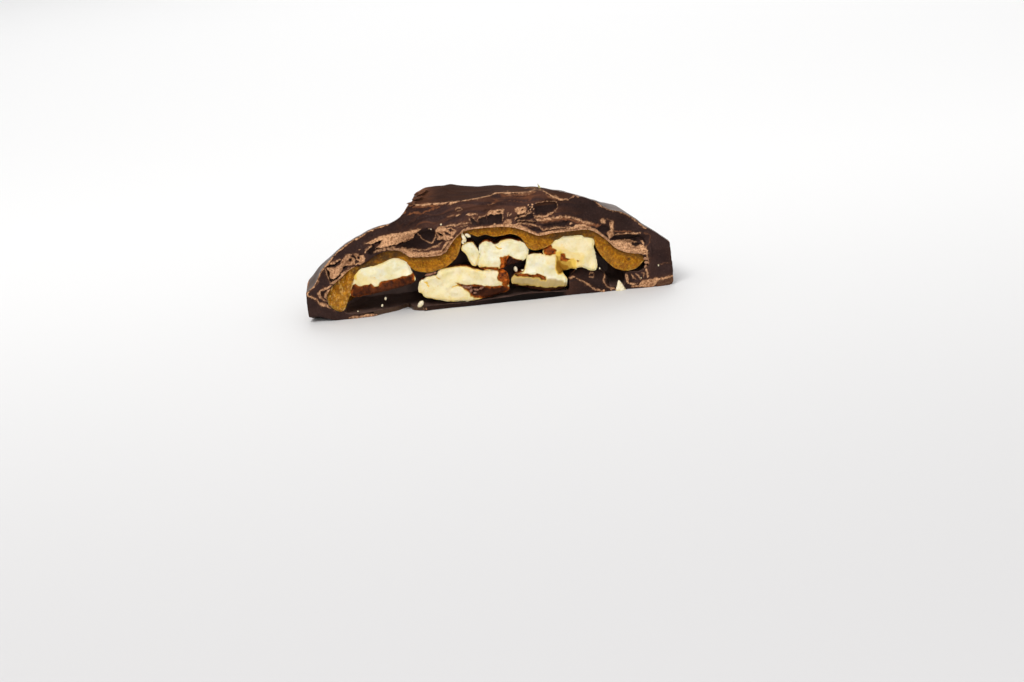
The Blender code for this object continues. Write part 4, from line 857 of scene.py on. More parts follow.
def field_block(name, firsts, seconds, values, flat, order):
    """A block with one face shaped by values over a grid, and the opposite face flat."""
    rows, columns = len(firsts), len(seconds)
    grid = np.stack([*grid_of(firsts, seconds), values], axis=-1).reshape(-1, 3)
    ends = [(0, 0), (-1, 0), (-1, -1), (0, -1)]
    back = [(firsts[a], seconds[b], flat) for a, b in ends]
    vertices = np.vstack([grid, back])[:, order]
    index = np.arange(rows * columns).reshape(rows, columns)
    quads = np.stack([index[:-1, :-1], index[1:, :-1], index[1:, 1:], index[:-1, 1:]], axis=-1)
    faces = quads.reshape(-1, 4).tolist()
    corner = rows * columns
    sides = (index[:, 0], index[-1], index[::-1, -1], index[0, ::-1])
    for k, side in enumerate(sides):
        faces.append(side.tolist() + [corner + (k + 1) % 4, corner + k])
    faces.append([corner + k for k in range(4)])
    return new_object(name, vertices, faces)


def ring_faces(count, sides):
    """The faces between rings of equally many points, and those that close both ends."""
    index = np.arange(count * sides).reshape(count, sides)
    after = np.roll(index, -1, axis=1)
    quads = np.stack([index[:-1], after[:-1], after[1:], index[1:]], axis=-1)
    return quads.reshape(-1, 4).tolist() + [index[0].tolist(), index[-1, ::-1].tolist()]


def loft(name, sections):
    """A closed body through sections of equally many points, with flat ends."""
    rings = np.array(sections, float)
    return new_object(name, rings.reshape(-1, 3), ring_faces(*rings.shape[:2]))


def cut(obj, cutter, operation="DIFFERENCE"):
    """Applies one Boolean and takes the cutter out of the scene."""
    step = obj.modifiers.new("shape", "BOOLEAN")
    step.object = cutter
    step.operation = operation
    step.solver = "MANIFOLD"
    graph = bpy.context.evaluated_depsgraph_get()
    shaped = bpy.data.meshes.new_from_object(obj.evaluated_get(graph))
    obj.modifiers.clear()
    obj.data = shaped
    bpy.data.objects.remove(cutter)


def places_of(obj):
    """The vertices as an array, still in millimetres."""
    places = np.empty(len(obj.data.vertices) * 3, np.float32)
    obj.data.vertices.foreach_get("co", places)
    return places.reshape(-1, 3).astype(float)


def set_values(obj, **named):
    """Stores numbers for the vertices under the names that a material reads."""
    for name, values in named.items():
        layer = obj.data.attributes.new(name, "FLOAT", "POINT")
        layer.data.foreach_set("value", np.asarray(values, np.float32))


def give_materials(obj, *materials):
    obj.data.materials.clear()
    for material in materials:
        obj.data.materials.append(material)


def placed(obj, slot, *nodes, sharp_angle=40):
    """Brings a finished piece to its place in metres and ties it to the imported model."""
    places = places_of(obj) * MM
    places[:, 1] += BREAK_Y
    obj.data.vertices.foreach_set("co", places.astype(np.float32).ravel())
    obj.data.shade_smooth()
    obj.data.set_sharp_from_angle(angle=math.radians(sharp_angle))
    obj.data.update()
    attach(obj, "root")
    if nodes:
        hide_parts(*nodes)


# Materials


def new_material(name, roughness, specular=0.2):
    material = bpy.data.materials.new(name)
    material.use_nodes = True
    shader = material.node_tree.nodes["Principled BSDF"]
    shader.inputs["Roughness"].default_value = roughness
    shader.inputs["Specular IOR Level"].default_value = specular
    return material, material.node_tree


def scatter_light(material, weight, radius, scale):
    """Lets light into a material, by a distance in millimetres for each colour."""
    shader = material.node_tree.nodes["Principled BSDF"]
    shader.inputs["Subsurface Weight"].default_value = weight
    shader.inputs["Subsurface Radius"].default_value = radius
    shader.inputs["Subsurface Scale"].default_value = scale * MM


def finished(material, colour, rough=None, height=None, distance=0.0):
    """The material with its colour, its roughness and its fine relief in millimetres."""
    tree = material.node_tree
    shader = tree.nodes["Principled BSDF"]
    tree.links.new(colour, shader.inputs["Base Color"])
    if rough is not None:
        tree.links.new(rough, shader.inputs["Roughness"])
    if height is not None:
        bump = tree.nodes.new("ShaderNodeBump")
        bump.inputs["Distance"].default_value = distance * MM
        tree.links.new(height, bump.inputs["Height"])
        tree.links.new(bump.outputs["Normal"], shader.inputs["Normal"])
    return material


def value_node(tree, name):
    node = tree.nodes.new("ShaderNodeAttribute")
    node.attribute_name = name
    return node.outputs["Fac"]


def noise_node(tree, size, detail=3.0, roughness=0.55, stretch=(1, 1, 1)):
    """Noise with a grain of about the given size in millimetres, fixed to the object."""
    place = tree.nodes.new("ShaderNodeTexCoord")
    mapping = tree.nodes.new("ShaderNodeMapping")
    mapping.inputs["Scale"].default_value = stretch
    texture = tree.nodes.new("ShaderNodeTexNoise")
    texture.inputs["Scale"].default_value = 1 / (size * MM)
    texture.inputs["Detail"].default_value = detail
    texture.inputs["Roughness"].default_value = roughness
    tree.links.new(place.outputs["Object"], mapping.inputs["Vector"])
    tree.links.new(mapping.outputs["Vector"], texture.inputs["Vector"])
    return texture.outputs["Fac"]


def math_node(tree, operation, first, second, third=None):
    node = tree.nodes.new("ShaderNodeMath")
    node.operation = operation
    for socket, value in zip(node.inputs, (first, second, third)):
        if isinstance(value, (int, float)):
            socket.default_value = value
        elif value is not None:
            tree.links.new(value, socket)
    return node.outputs[0]


def ranged(tree, value, low, high, new_low=0.0, new_high=1.0):
    node = tree.nodes.new("ShaderNodeMapRange")
    node.interpolation_type = "SMOOTHSTEP"
    for name, number in (("From Min", low), ("From Max", high), ("To Min", new_low)):
        node.inputs[name].default_value = number
    node.inputs["To Max"].default_value = new_high
    tree.links.new(value, node.inputs["Value"])
    return node.outputs["Result"]


def mixed(tree, share, first, second):
    """A colour between two, by a share from 0 to 1."""
    node = tree.nodes.new("ShaderNodeMix")
    node.data_type = "RGBA"
    tree.links.new(share, node.inputs["Factor"])
    for socket, value in zip((node.inputs[6], node.inputs[7]), (first, second)):
        if isinstance(value, tuple):
            socket.default_value = (*value, 1.0)
        else:
            tree.links.new(value, socket)
    return node.outputs[2]


def clouded(tree, cloud, low, high, first, second):
    """A colour that goes from one to another as a noise goes from low to high."""
    return mixed(tree, ranged(tree, cloud, low, high), first, second)


def broken_chocolate():
    material, tree = new_material("broken_chocolate", 0.7, 0.01)
    cloud = noise_node(tree, 2.5)
    grain = noise_node(tree, 0.30, 3.0)
    base = clouded(tree, cloud, 0.3, 0.7, (0.038, 0.0205, 0.0180), (0.056, 0.0300, 0.0260))
    base = mixed(tree, ranged(tree, grain, 0.54, 0.74, 0.0, 0.45), base, (0.095, 0.058, 0.050))
    base = mixed(tree, ranged(tree, grain, 0.46, 0.30, 0.0, 0.45), base, (0.022, 0.012, 0.011))
    rust_share = math_node(tree, "MULTIPLY", value_node(tree, "rust"), 0.9)
    base = mixed(tree, rust_share, base, (0.23, 0.082, 0.034))
    # The dark value paints shade into the cracks, the base's notch and front strip, the lump, the
    # chipped top and the right wing; it also darkens the left wing and the smooth hollows.
    base = mixed(tree, value_node(tree, "dark"), base, (0.0090, 0.0068, 0.0060))
    tan = clouded(tree, grain, 0.32, 0.66, (0.30, 0.143, 0.068), (0.76, 0.425, 0.225))
    pale = value_node(tree, "pale")
    colour = clouded(tree, pale, 0.05, 0.95, base, tan)
    rough = ranged(tree, pale, 0.0, 0.7, 0.75, 0.9)
    return finished(material, colour, rough, noise_node(tree, 0.35, 4.0, 0.65), 0.09)


def chocolate_skin():
    """The moulded outside: satin, cloudy, and scuffed pale where the scuff value is high."""
    material, tree = new_material("chocolate_skin", 0.45, 0.20)
    cloud = noise_node(tree, 9.0, 3.0, 0.6)
    speckle = noise_node(tree, 0.30, 2.0)
    base = clouded(tree, cloud, 0.3, 0.72, (0.058, 0.029, 0.0170), (0.098, 0.053, 0.030))
    darker = clouded(tree, speckle, 0.25, 0.5, (0.048, 0.025, 0.016), base)
    darker = mixed(tree, value_node(tree, "band"), darker, (0.030, 0.0165, 0.0125))
    fine = noise_node(tree, 0.5, 4.0, 0.7, (0.5, 0.5, 1.6))
    scuffed = math_node(tree, "ADD", fine, value_node(tree, "scuff"))
    amount = ranged(tree, scuffed, 0.95, 1.18)
    tan = clouded(tree, speckle, 0.4, 0.66, (0.17, 0.070, 0.034), (0.48, 0.25, 0.135))
    rough_cloud = ranged(tree, noise_node(tree, 4.0), 0.3, 0.7, 0.34, 0.50)
    rough = math_node(tree, "MULTIPLY_ADD", amount, 0.35, rough_cloud)
    colour = mixed(tree, amount, darker, tan)
    return finished(material, colour, rough, noise_node(tree, 0.45, 4.0, 0.6), 0.02)


# Painted light: the chocolate inside the space is coloured lighter than the broken chocolate, standing
# in for light that hardly reaches in.
def hollow_chocolate_painted_light():
    material, tree = new_material("hollow_chocolate_painted_light", 0.45)
    cloud = noise_node(tree, 2.0)
    colour = clouded(tree, cloud, 0.3, 0.7, (0.105, 0.063, 0.051), (0.160, 0.097, 0.077))
    return finished(material, colour, height=noise_node(tree, 0.8, 3.0), distance=0.06)


def caramel_material():
    material, tree = new_material("caramel", 0.38, 0.10)
    scatter_light(material, 0.55, (1.0, 0.45, 0.08), 1.3)
    cloud = noise_node(tree, 1.3, 4.0, 0.65)
    base = clouded(tree, cloud, 0.28, 0.70, (0.21, 0.070, 0.001), (0.48, 0.188, 0.004))
    # Painted shade: the caramel is darkened by its shade value, and its light grains fade there.
    caramel_shade = value_node(tree, "caramel_shade")
    base = mixed(tree, caramel_shade, base, (0.078, 0.036, 0.008))
    base = mixed(tree, value_node(tree, "rim"), base, (0.80, 0.49, 0.15))
    grain = noise_node(tree, 0.36, 3.0, 0.6)
    base = mixed(tree, ranged(tree, grain, 0.50, 0.34, 0.0, 0.55), base, (0.13, 0.043, 0.001))
    light_grains = ranged(tree, grain, 0.52, 0.72, 0.0, 0.62)
    clear = ranged(tree, caramel_shade, 0.0, 1.0, 1.0, 0.25)
    light_grains = math_node(tree, "MULTIPLY", light_grains, clear)
    colour = mixed(tree, light_grains, base, (0.66, 0.320, 0.018))
    return finished(material, colour, height=grain, distance=0.22)


def pecan_material():
    material, tree = new_material("pecan", 0.55, 0.06)
    scatter_light(material, 0.25, (1.0, 0.7, 0.35), 0.6)
    cloud = noise_node(tree, 1.9, 3.0, 0.6)
    flesh = clouded(tree, cloud, 0.35, 0.70, (0.86, 0.81, 0.625), (0.84, 0.755, 0.43))
    flesh = clouded(tree, noise_node(tree, 0.40, 2.0), 0.60, 0.74, flesh, (0.80, 0.66, 0.33))
    patches = ranged(tree, noise_node(tree, 1.1, 3.0), 0.48, 0.66, 0.0, 0.5)
    flesh = mixed(tree, patches, flesh, (0.74, 0.65, 0.36))
    shade, amber, skin = [value_node(tree, name) for name in ("shade", "amber", "skin")]
    flesh = mixed(tree, shade, flesh, (0.37, 0.235, 0.055))
    flesh = clouded(tree, amber, 0.0, 0.6, flesh, (0.84, 0.57, 0.11))
    flesh = clouded(tree, amber, 0.5, 1.0, flesh, (0.26, 0.100, 0.004))
    bark = noise_node(tree, 0.7, 4.0, 0.65)
    brown = clouded(tree, bark, 0.32, 0.66, (0.050, 0.010, 0.003), (0.60, 0.135, 0.014))
    brown = mixed(tree, shade, brown, (0.030, 0.009, 0.005))
    colour = mixed(tree, skin, flesh, brown)
    rough = ranged(tree, skin, 0.0, 1.0, 0.60, 0.34)
    return finished(material, colour, rough, noise_node(tree, 0.45, 4.0, 0.6), 0.06)


def plain_crumb(name, first, second, roughness, specular=0.1):
    material, tree = new_material(name, roughness, specular)
    return finished(material, clouded(tree, noise_node(tree, 0.4, 2.0), 0.35, 0.65, first, second))


# The chocolate shell


def disc_radius(angle):
    """Radius of the round outline, a little uneven towards the back."""
    behind = np.sin(angle) ** 2
    return DISC_RADIUS + behind * (0.35 * np.sin(2 * angle + 0.6) + 0.2 * np.sin(5 * angle))


def shell_disc():
    """The upright side wall and flat base."""
    angles = np.linspace(0, math.pi, 300)
    straight = np.linspace(-OUT_OF_THE_WAY, -0.4, 10)
    heights = [height for height, _ in SIDE_WALL[:3]]
    heights += list(np.arange(0.7, 11.0, 0.33)) + [BLOCK_TOP]
    wall_heights, insets = np.array(SIDE_WALL).T
    sections = []
    for height in heights:
        radii = disc_radius(angles) - np.interp(height, wall_heights, insets)
        x, depth = radii * np.cos(angles), radii * np.sin(angles)
        level = np.full(x.shape, height)
        if 0.5 < height < 12:
            dents = 0.07 * layered_noise(1.3, 61, x, depth, 2.0 * level)
            dents += 0.05 * noise(4.0, 62, x, depth, level)
            x, depth = x - dents * np.cos(angles), depth - dents * np.sin(angles)
        ring = [(x[0], place, height) for place in straight]
        ring += list(zip(x, depth, level))
        ring += [(x[-1], place, height) for place in straight[::-1]]
        sections.append(ring)
    return loft("shell", sections)


def dome_block():
    across = np.arange(-35.0, 35.2, 0.30)
    behind = [np.arange(-0.4, 8.0, 0.22), np.arange(8.2, 34.5, 0.42)]
    back = np.concatenate([[-8.0, -0.8], *behind, [36.0]])
    heights = skin_height(*grid_of(across, back))
    return field_block("dome", across, back, heights, -OUT_OF_THE_WAY, [0, 1, 2])


def break_block():
    across = np.arange(-34.5, 34.6, BREAK_STEP)
    upright = np.arange(-1.2, 23.3, BREAK_STEP)
    depths = break_depth(*grid_of(across, upright))
    return field_block("break", across, upright, depths, -OUT_OF_THE_WAY - 4, [0, 2, 1])


def base_notch():
    plan = curve_through(BASE_NOTCH[1:-1], steps=10)
    ragged = 0.10 * layered_noise(0.8, 63, plan[:, 0], plan[:, 1])
    plan = [BASE_NOTCH[0], *np.column_stack([plan[:, 0], plan[:, 1] + ragged]), BASE_NOTCH[-1]]
    return loft("notch", [[(x, depth, z) for x, depth in plan] for z in (-1.0, 1.4)])


def corner_chip():
    sections = []
    for depth, height in CORNER_CHIP_HEIGHTS:
        sections.append([(x, depth, min(z, height)) for x, z in CORNER_CHIP])
    return loft("corner", sections)


def tip_gap(points):
    """A wedge that runs back along the line of sight."""
    wedge = levelled(points)
    return loft("gap", [[(x, depth, z - depth * SEEN_RISE) for x, z in wedge] for depth in (-2, 7)])


def caramel_sections(front, gap=0.0, count=260):
    """The caramel's outline at depths from front to back, drawn in towards the dome's back."""
    outline = even_loop(CARAMEL_TOP + CARAMEL_UNDERSIDE, count)
    depths = [front, 1.0, 2.0, 3.0, 4.7, 6.5, 8.2, 10.0, 13.5, 17.0, 20.0, 22.5, CARAMEL_DEPTH]
    sections = []
    for depth in depths:
        share = max(depth, 0.0) / (CARAMEL_DEPTH + 4.0)
        narrow = math.sqrt(1 - share**2)
        low = 1 - 0.42 * share**2
        loop = np.array([(x * narrow, 1 + (z - 1) * low) for x, z in outline])
        sections.append([(x, depth, z) for x, z in widened(loop, gap)])
    return sections


def space():
    """The empty space round the nuts, from in front of the break to its back wall."""
    rounded_from = 6.0
    depths = [-3.0, *np.arange(0.0, LUMP_SLOPE + 0.3, 0.14), 4.0, 5.5, 7.0, 8.4, 9.5, SPACE_DEPTH]
    sections = []
    for depth in depths:
        up_lump = smooth_step(depth / LUMP_SLOPE)
        lump = [
            (foot_x, (1 - up_lump) * foot_z + up_lump * top_z)
            for (foot_x, foot_z), (_, top_z) in zip(LUMP_FOOT, LUMP_TOP)
        ]
        ring = even_loop(SPACE_FLOOR + lump + SPACE_FLOOR_RIGHT + SPACE_ROOF, 840)
        past = max(depth - rounded_from, 0.0) / (SPACE_DEPTH - rounded_from)
        x = ring[:, 0] * (1 - 0.1 * past**2)
        z = 4.0 + (ring[:, 1] - 4.0) * (1 - 0.2 * past**2)
        level = np.full(x.shape, depth)
        bumps = 0.10 * noise(1.2, 64, x, z, level) if depth > 0.5 else 0 * x
        sections.append(list(zip(x, level, z + bumps)))
    return loft("space", sections)


def inside_wall(x, depth):
    """How far inside the round outline places are."""
    back = np.maximum(depth, 0.0)
    return disc_radius(np.arctan2(back, x)) - np.hypot(x, back)


def shell_scuffs(x, depth, z):
    """How scuffed the outside is, and where it is smooth and dark below the shoulder's rim."""
    from_rim = inside_wall(x, depth)
    on_wall = from_rim < 0.45
    below_rim = np.where(on_wall, skin_height(x, depth) - z, -from_rim)
    patches = layered_noise(5.0, 65, x, depth, z)
    rim = np.exp(-((below_rim / 0.28) ** 2)) * (0.56 + 0.30 * patches)
    band = smooth_step(below_rim / 0.5) * smooth_step((2.2 - below_rim) / 1.0)
    lower_line = 3.4 + 1.2 * noise(7.0, 66, x, depth)
    low_band = smooth_step((lower_line - z) / 1.2) * smooth_step((z - 0.3) / 0.5)
    wall = np.where(on_wall, low_band * (0.46 + 0.40 * patches), 0.0)
    foot = np.where(on_wall, np.exp(-((z - 0.3) / 0.35) ** 2) * 0.40, 0.0)
    return np.clip(rim, 0, 1) + np.clip(wall, 0, 1) + foot, np.where(on_wall, band, 0)


def shell_values(x, depth, z):
    """The numbers that the shell's materials read, at levelled places."""
    seen_z = z + np.maximum(depth, 0.0) * SEEN_RISE
    in_space = between(x, 13.0, 28.5) & (z < 5.5) & (depth > 0.3)
    on_top = between(x, -13.0, 13.0) & (z > 18.2) & (depth > 0.3)
    as_seen = in_space | on_top | (depth > 1.6)
    pale, rust, dark, _ = break_looks(x, np.where(as_seen, seen_z, z))
    # Painted shade: faces inside the notch in the base's front are made darkest.
    in_notch = between(x, -22.0, -11.0) & (z < 2.0) & (depth > 0.1)
    dark = np.where(in_notch, 1.0, dark)
    on_chip = between(x, -13.0, 17.0) & (z > 16.5) & (depth > 0.4)
    streak = layered_noise(0.9, 67, 0.4 * x, 2.4 * depth)
    left_end = smooth_step((-7.0 - x) / 4.0)
    red = 0.30 + 0.52 * left_end + 0.22 * smooth_step((x - 2.0) / 4.0)
    rust = np.where(on_chip, red * (0.75 + 0.45 * streak), rust)
    pale = np.where(on_chip, 0.45 * left_end * smooth_step(3 * streak - 1.0) + 0.5 * pale, pale)
    # Painted shade: the chipped top, which faces the light above, is darkened, less at its left end.
    dark = np.where(on_chip, np.maximum(dark, 0.54 - 0.50 * left_end), dark)
    scuff, band = shell_scuffs(x, depth, z)
    return {"pale": pale, "rust": rust, "dark": dark, "scuff": scuff, "band": band}


def vertex_kinds(x, depth, z):
    """Whether places on the shell are broken, moulded or in the space inside."""
    on_break = np.abs(depth - break_depth(x, z)) < ON_SURFACE
    off_top = np.abs(z - skin_height(x, depth))
    past_chip = 3.0 * smooth_step((11.0 - x) / 2.0) + 0.8 * layered_noise(1.5, 68, x, depth)
    in_chip = between(x, -13.0, 17.2) & (depth < chip_depth(x) + past_chip)
    outside = (off_top < 0.05) | (z < 0.02)
    outside |= np.abs(inside_wall(x, depth)) < np.where(z < 0.72, 0.9, 0.35)
    broken = on_break | (in_chip & (off_top < ON_SURFACE))
    return np.where(broken, BROKEN, np.where(outside, MOULDED, HOLLOW))


def face_kinds(mesh, x, depth, z):
    """The kind of each face, from those of its vertices and from where its middle is."""
    starts = np.empty(len(mesh.polygons), np.int32)
    totals = np.empty(len(mesh.polygons), np.int32)
    corners = np.empty(len(mesh.loops), np.int32)
    mesh.polygons.foreach_get("loop_start", starts)
    mesh.polygons.foreach_get("loop_total", totals)
    mesh.loops.foreach_get("vertex_index", corners)
    mean_x, mean_depth, mean_z = [
        np.add.reduceat(values[corners], starts) / totals for values in (x, depth, z)
    ]
    kinds = vertex_kinds(x, depth, z)[corners]
    lowest, highest = np.minimum.reduceat(kinds, starts), np.maximum.reduceat(kinds, starts)
    reaches_in = highest == HOLLOW
    kind = np.where(reaches_in & (lowest == MOULDED), MOULDED, highest)
    kind = np.where(reaches_in & (lowest == BROKEN) & (mean_depth < 0.6), BROKEN, kind)
    on_lump = between(mean_x, 13.6, 21.2) & (mean_z < 4.9) & (mean_depth < LUMP_SLOPE + 0.6)
    on_tips = (mean_x < -8.0) & (mean_z > 17.5) & (mean_depth > -1.0)
    return np.where((kind == HOLLOW) & (on_lump | on_tips), BROKEN, kind)


def make_shell():
    shell = shell_disc()
    cut(shell, base_notch())
    cut(shell, corner_chip())
    cut(shell, dome_block(), "INTERSECT")
    cut(shell, break_block())
    for points in TIP_GAPS:
        cut(shell, tip_gap(points))
    cut(shell, loft("pocket", caramel_sections(-3.0)))
    cut(shell, space())
    x, depth, z = places_of(shell).T
    set_values(shell, **shell_values(x, depth, z))
    kinds = face_kinds(shell.data, x, depth, z)
    give_materials(shell, broken_chocolate(), chocolate_skin(), hollow_chocolate_painted_light())
    shell.data.polygons.foreach_set("material_index", kinds.astype(np.int32))
    placed(shell, "chocolate", "chocolate_shell", sharp_angle=38)


# The caramel

# Painted shade on the caramel over the nuts: how much, and the outline
CARAMEL_SHADE_OVER_NUTS = [
    (1.0, [(-24.2, 7.4), (-23.6, 9.2), (-19.6, 11), (-15, 11.4), (-14.4, 10.2), (-17, 9.6),
        (-22, 8.2)]),
    (0.95, [(10.6, 11.2), (12, 12.1), (18.4, 12.2), (19.6, 10.8), (18.6, 9.9), (12, 10.2)]),
]


def left_leg_of(sheet_x):
    """1 in the layer's left leg, 0 to its right."""
    return smooth_step((-23.5 - sheet_x) / 1.5)


def caramel_front(x, z, outline):
    """Depth of the layer's broken face at levelled places."""
    sheet_x, sheet_z = drawn(x, z)
    grit = layered_noise(0.42, 71, sheet_x * 1.3, sheet_z)
    streaks = noise(0.45, 72, sheet_x - 0.3 * sheet_z, 0.22 * sheet_z)
    front = CARAMEL_FRONT + 0.05 + 0.10 * grit + left_leg_of(sheet_x) * 0.16 * streaks
    return front + 0.18 * near_edge_of(x, z, outline, 0.45) + 0.15 * noise(2.4, 73, x, z)


def caramel_values(x, depth, z, outline):
    """How light the layer is along its rims, and where shade is painted into it, at levelled places."""
    sheet_x, sheet_z = drawn(x, z)
    below_top = caramel_top(np.clip(x, -28.8, 27.2)) - z
    underside = smooth_step((below_top - 0.8) / 0.5)
    rim = 0.25 + 0.75 * smooth_step((-22.5 - sheet_x) / 2.0)
    rim = rim + 0.6 * smooth_step((sheet_x - 23.5) / 2.0)
    rim = rim * near_edge_of(x, z, outline, 0.40) * underside
    rim = rim * smooth_step(0.55 + layered_noise(0.5, 74, x, z))
    specks = smooth_step((layered_noise(0.36, 76, 1.4 * x, 0.8 * z) - 0.05) / 0.45)
    rim = np.maximum(rim, 0.55 * left_leg_of(sheet_x) * specks)
    rim = np.maximum(rim, 0.08 * smooth_step((below_top - 1.3) / 1.6))
    # Painted shade: darker along the caramel's top and over the nuts; the same value also darkens a
    # small spot and the corner at the right end.
    caramel_shade = 0.65 * smooth_step((1.3 - below_top) / 1.1)
    for strength, over_nut in CARAMEL_SHADE_OVER_NUTS:
        caramel_shade = np.maximum(caramel_shade, strength * inside_of(sheet_x, sheet_z, over_nut, 0.3))
    spot = np.hypot(sheet_x - 24.9, sheet_z - 5.9)
    caramel_shade = np.maximum(caramel_shade, 0.9 * smooth_step((0.42 - spot) / 0.2))
    corner = np.hypot(sheet_x - 27.3, 1.3 * (sheet_z - 6.3))
    caramel_shade = np.maximum(caramel_shade, 0.8 * smooth_step((1.6 - corner) / 1.2))
    caramel_shade = caramel_shade * smooth_step(0.85 + 0.5 * layered_noise(0.7, 75, x, z))
    # Painted shade: faces further back inside the shell are darker and lose the light rim.
    deep = smooth_step((depth - 1.5) / 3.0)
    return {"rim": rim * (1 - deep), "caramel_shade": np.clip(caramel_shade + 0.3 * deep, 0, 1)}


def make_caramel():
    layer = loft("caramel_layer", caramel_sections(-3.0, 0.03))
    outline = even_loop(CARAMEL_TOP + CARAMEL_UNDERSIDE, 200)
    across = np.arange(-30.0, 29.0, CARAMEL_STEP)
    upright = np.arange(0.0, 15.2, CARAMEL_STEP)
    front = caramel_front(*grid_of(across, upright), outline)
    cut(layer, field_block("face", across, upright, front, -8.0, [0, 2, 1]))
    set_values(layer, **caramel_values(*places_of(layer).T, outline))
    give_materials(layer, caramel_material())
    placed(layer, "caramel", "caramel", sharp_angle=50)


# The nuts


def nut_looks(x, z):
    """Skin, shade, amber and relief of the nuts' broken faces at levelled places."""
    sheet_x, sheet_z = drawn(x, z)
    px = sheet_x + 0.15 * noise(0.55, 81, sheet_x, sheet_z)
    pz = sheet_z + 0.15 * noise(0.55, 82, sheet_x, sheet_z)
    px = px + 0.05 * noise(0.2, 83, sheet_x, sheet_z)
    skin, shade, amber = np.zeros(x.shape), np.zeros(x.shape), np.zeros(x.shape)
    relief = np.zeros(x.shape)
    for sunk, darkness, outline in NUT_SKINS:
        cover = inside_of(px, pz, outline, 0.07)
        skin = np.maximum(skin, cover)
        within = smooth_step(2.2 * inside_of(px, pz, outline, 0.9) - 1.1)
        shade = np.maximum(shade, darkness * within)
        amber = np.maximum(amber, 0.9 * inside_of(px, pz, outline, 0.34))
        relief += cover * sunk
    flow_x = px + 0.45 * noise(1.3, 84, sheet_x, sheet_z)
    flow_z = pz + 0.40 * noise(1.2, 85, sheet_x, sheet_z)
    for strength, outline in AMBER_FLESH:
        within = smooth_step(1.9 * inside_of(flow_x, flow_z, outline, 0.8) - 0.9)
        amber = np.maximum(amber, strength * within)
    for strength, outline in DIM_FLESH:
        shade = np.maximum(shade, strength * inside_of(px, pz, outline, 0.25))
    for half_width, sunk, points in NUT_CREASES:
        cover = near_line(px, pz, points, half_width)
        amber = np.maximum(amber, 0.6 * cover)
        relief += cover * sunk
    return skin, shade, amber, relief


def nut_front(x, z, loop, seed):
    """Depth of a nut's broken face: lobed, grainy, and rounded off towards its outline."""
    rounding = near_edge_of(x, z, loop, 0.45)
    lobes = 0.34 * noise(2.1, seed + 5, x, z) + 0.16 * noise(0.95, seed + 6, x, z)
    grain = 0.045 * layered_noise(0.38, seed + 7, x, z)
    return PECAN_FRONT - 0.25 + lobes + grain + 0.32 * rounding**2 + nut_looks(x, z)[3]


def nut_sections(loop, seed):
    """The nut's outline at depths from front to back, ragged and rounded off behind."""
    ragged = 0.07 * layered_noise(0.9, seed, *loop.T) + 0.06 * noise(0.34, seed + 11, *loop.T)
    middle = loop.mean(axis=0)
    sections = []
    for share in (-0.3, 0.0, 0.04, 0.1, 0.2, 0.3, 0.42, 0.55, 0.67, 0.78, 0.87, 0.94, 1.0):
        size = math.sqrt(max(1 - (0.96 * share) ** 2, 0)) if share > 0.1 else 1.0
        ring = middle + (widened(loop, ragged + 0.09) - middle) * size
        depth = PECAN_FRONT + share * PECAN_DEPTH
        wrinkles = 0.12 * layered_noise(1.1, seed + 3, *ring.T, np.full(NUT_SIDES, depth))
        ring = widened(ring, wrinkles if share > 0.05 else 0.0)
        sections.append([(x, depth, z) for x, z in ring])
    return sections


def nut_values(x, depth, z, loop, seed):
    """How much skin, shade and deep yellow a nut shows, at levelled places."""
    skin, shade, amber, _ = nut_looks(x, z)
    behind = depth - nut_front(x, z, loop, seed)
    on_side = smooth_step((behind - 0.30 + 0.25 * layered_noise(1.0, seed + 8, x, z)) / 0.3)
    edge = inside_of(x, z, loop, 0.30)
    narrow = 0.14 * (1 - smooth_step(2 * edge - 1)) * smooth_step(0.5 + noise(1.2, seed + 9, x, z))
    wide = 0.17 * near_edge_of(x, z, loop, 1.5) * smooth_step(0.5 + noise(2.2, seed + 10, x, z))
    # A browner edge round the nut's face: partly its own colour, partly painted shade where it meets
    # the gap.
    edge_stain_and_shade = 0.42 * (1 - smooth_step((edge - 0.5) / 0.28)) * smooth_step(0.35 + noise(1.7, 95, x, z))
    return {
        "skin": np.maximum(skin, on_side),
        "shade": np.maximum(shade, 0.6 * smooth_step((depth - 1.2) / 2.5)),
        "amber": np.clip(np.maximum(np.maximum(amber, narrow + wide), edge_stain_and_shade), 0, 1),
    }


def make_pecan(node, outline, seed, material):
    """A piece of nut: a broken front, lobes and rounded edges, skin round its sides."""
    loop = even_loop(outline, NUT_SIDES)
    nut = loft(node + "_nut", nut_sections(loop, seed))
    low, high = loop.min(axis=0) - 0.6, loop.max(axis=0) + 0.6
    across = np.arange(low[0], high[0], NUT_STEP)
    upright = np.arange(low[1], high[1], NUT_STEP)
    front = nut_front(*grid_of(across, upright), loop, seed)
    cut(nut, field_block("face", across, upright, front, -6.0, [0, 2, 1]))
    set_values(nut, **nut_values(*places_of(nut).T, loop, seed))
    give_materials(nut, material)
    placed(nut, "pecan", node, sharp_angle=50)


# Crumbs and flakes

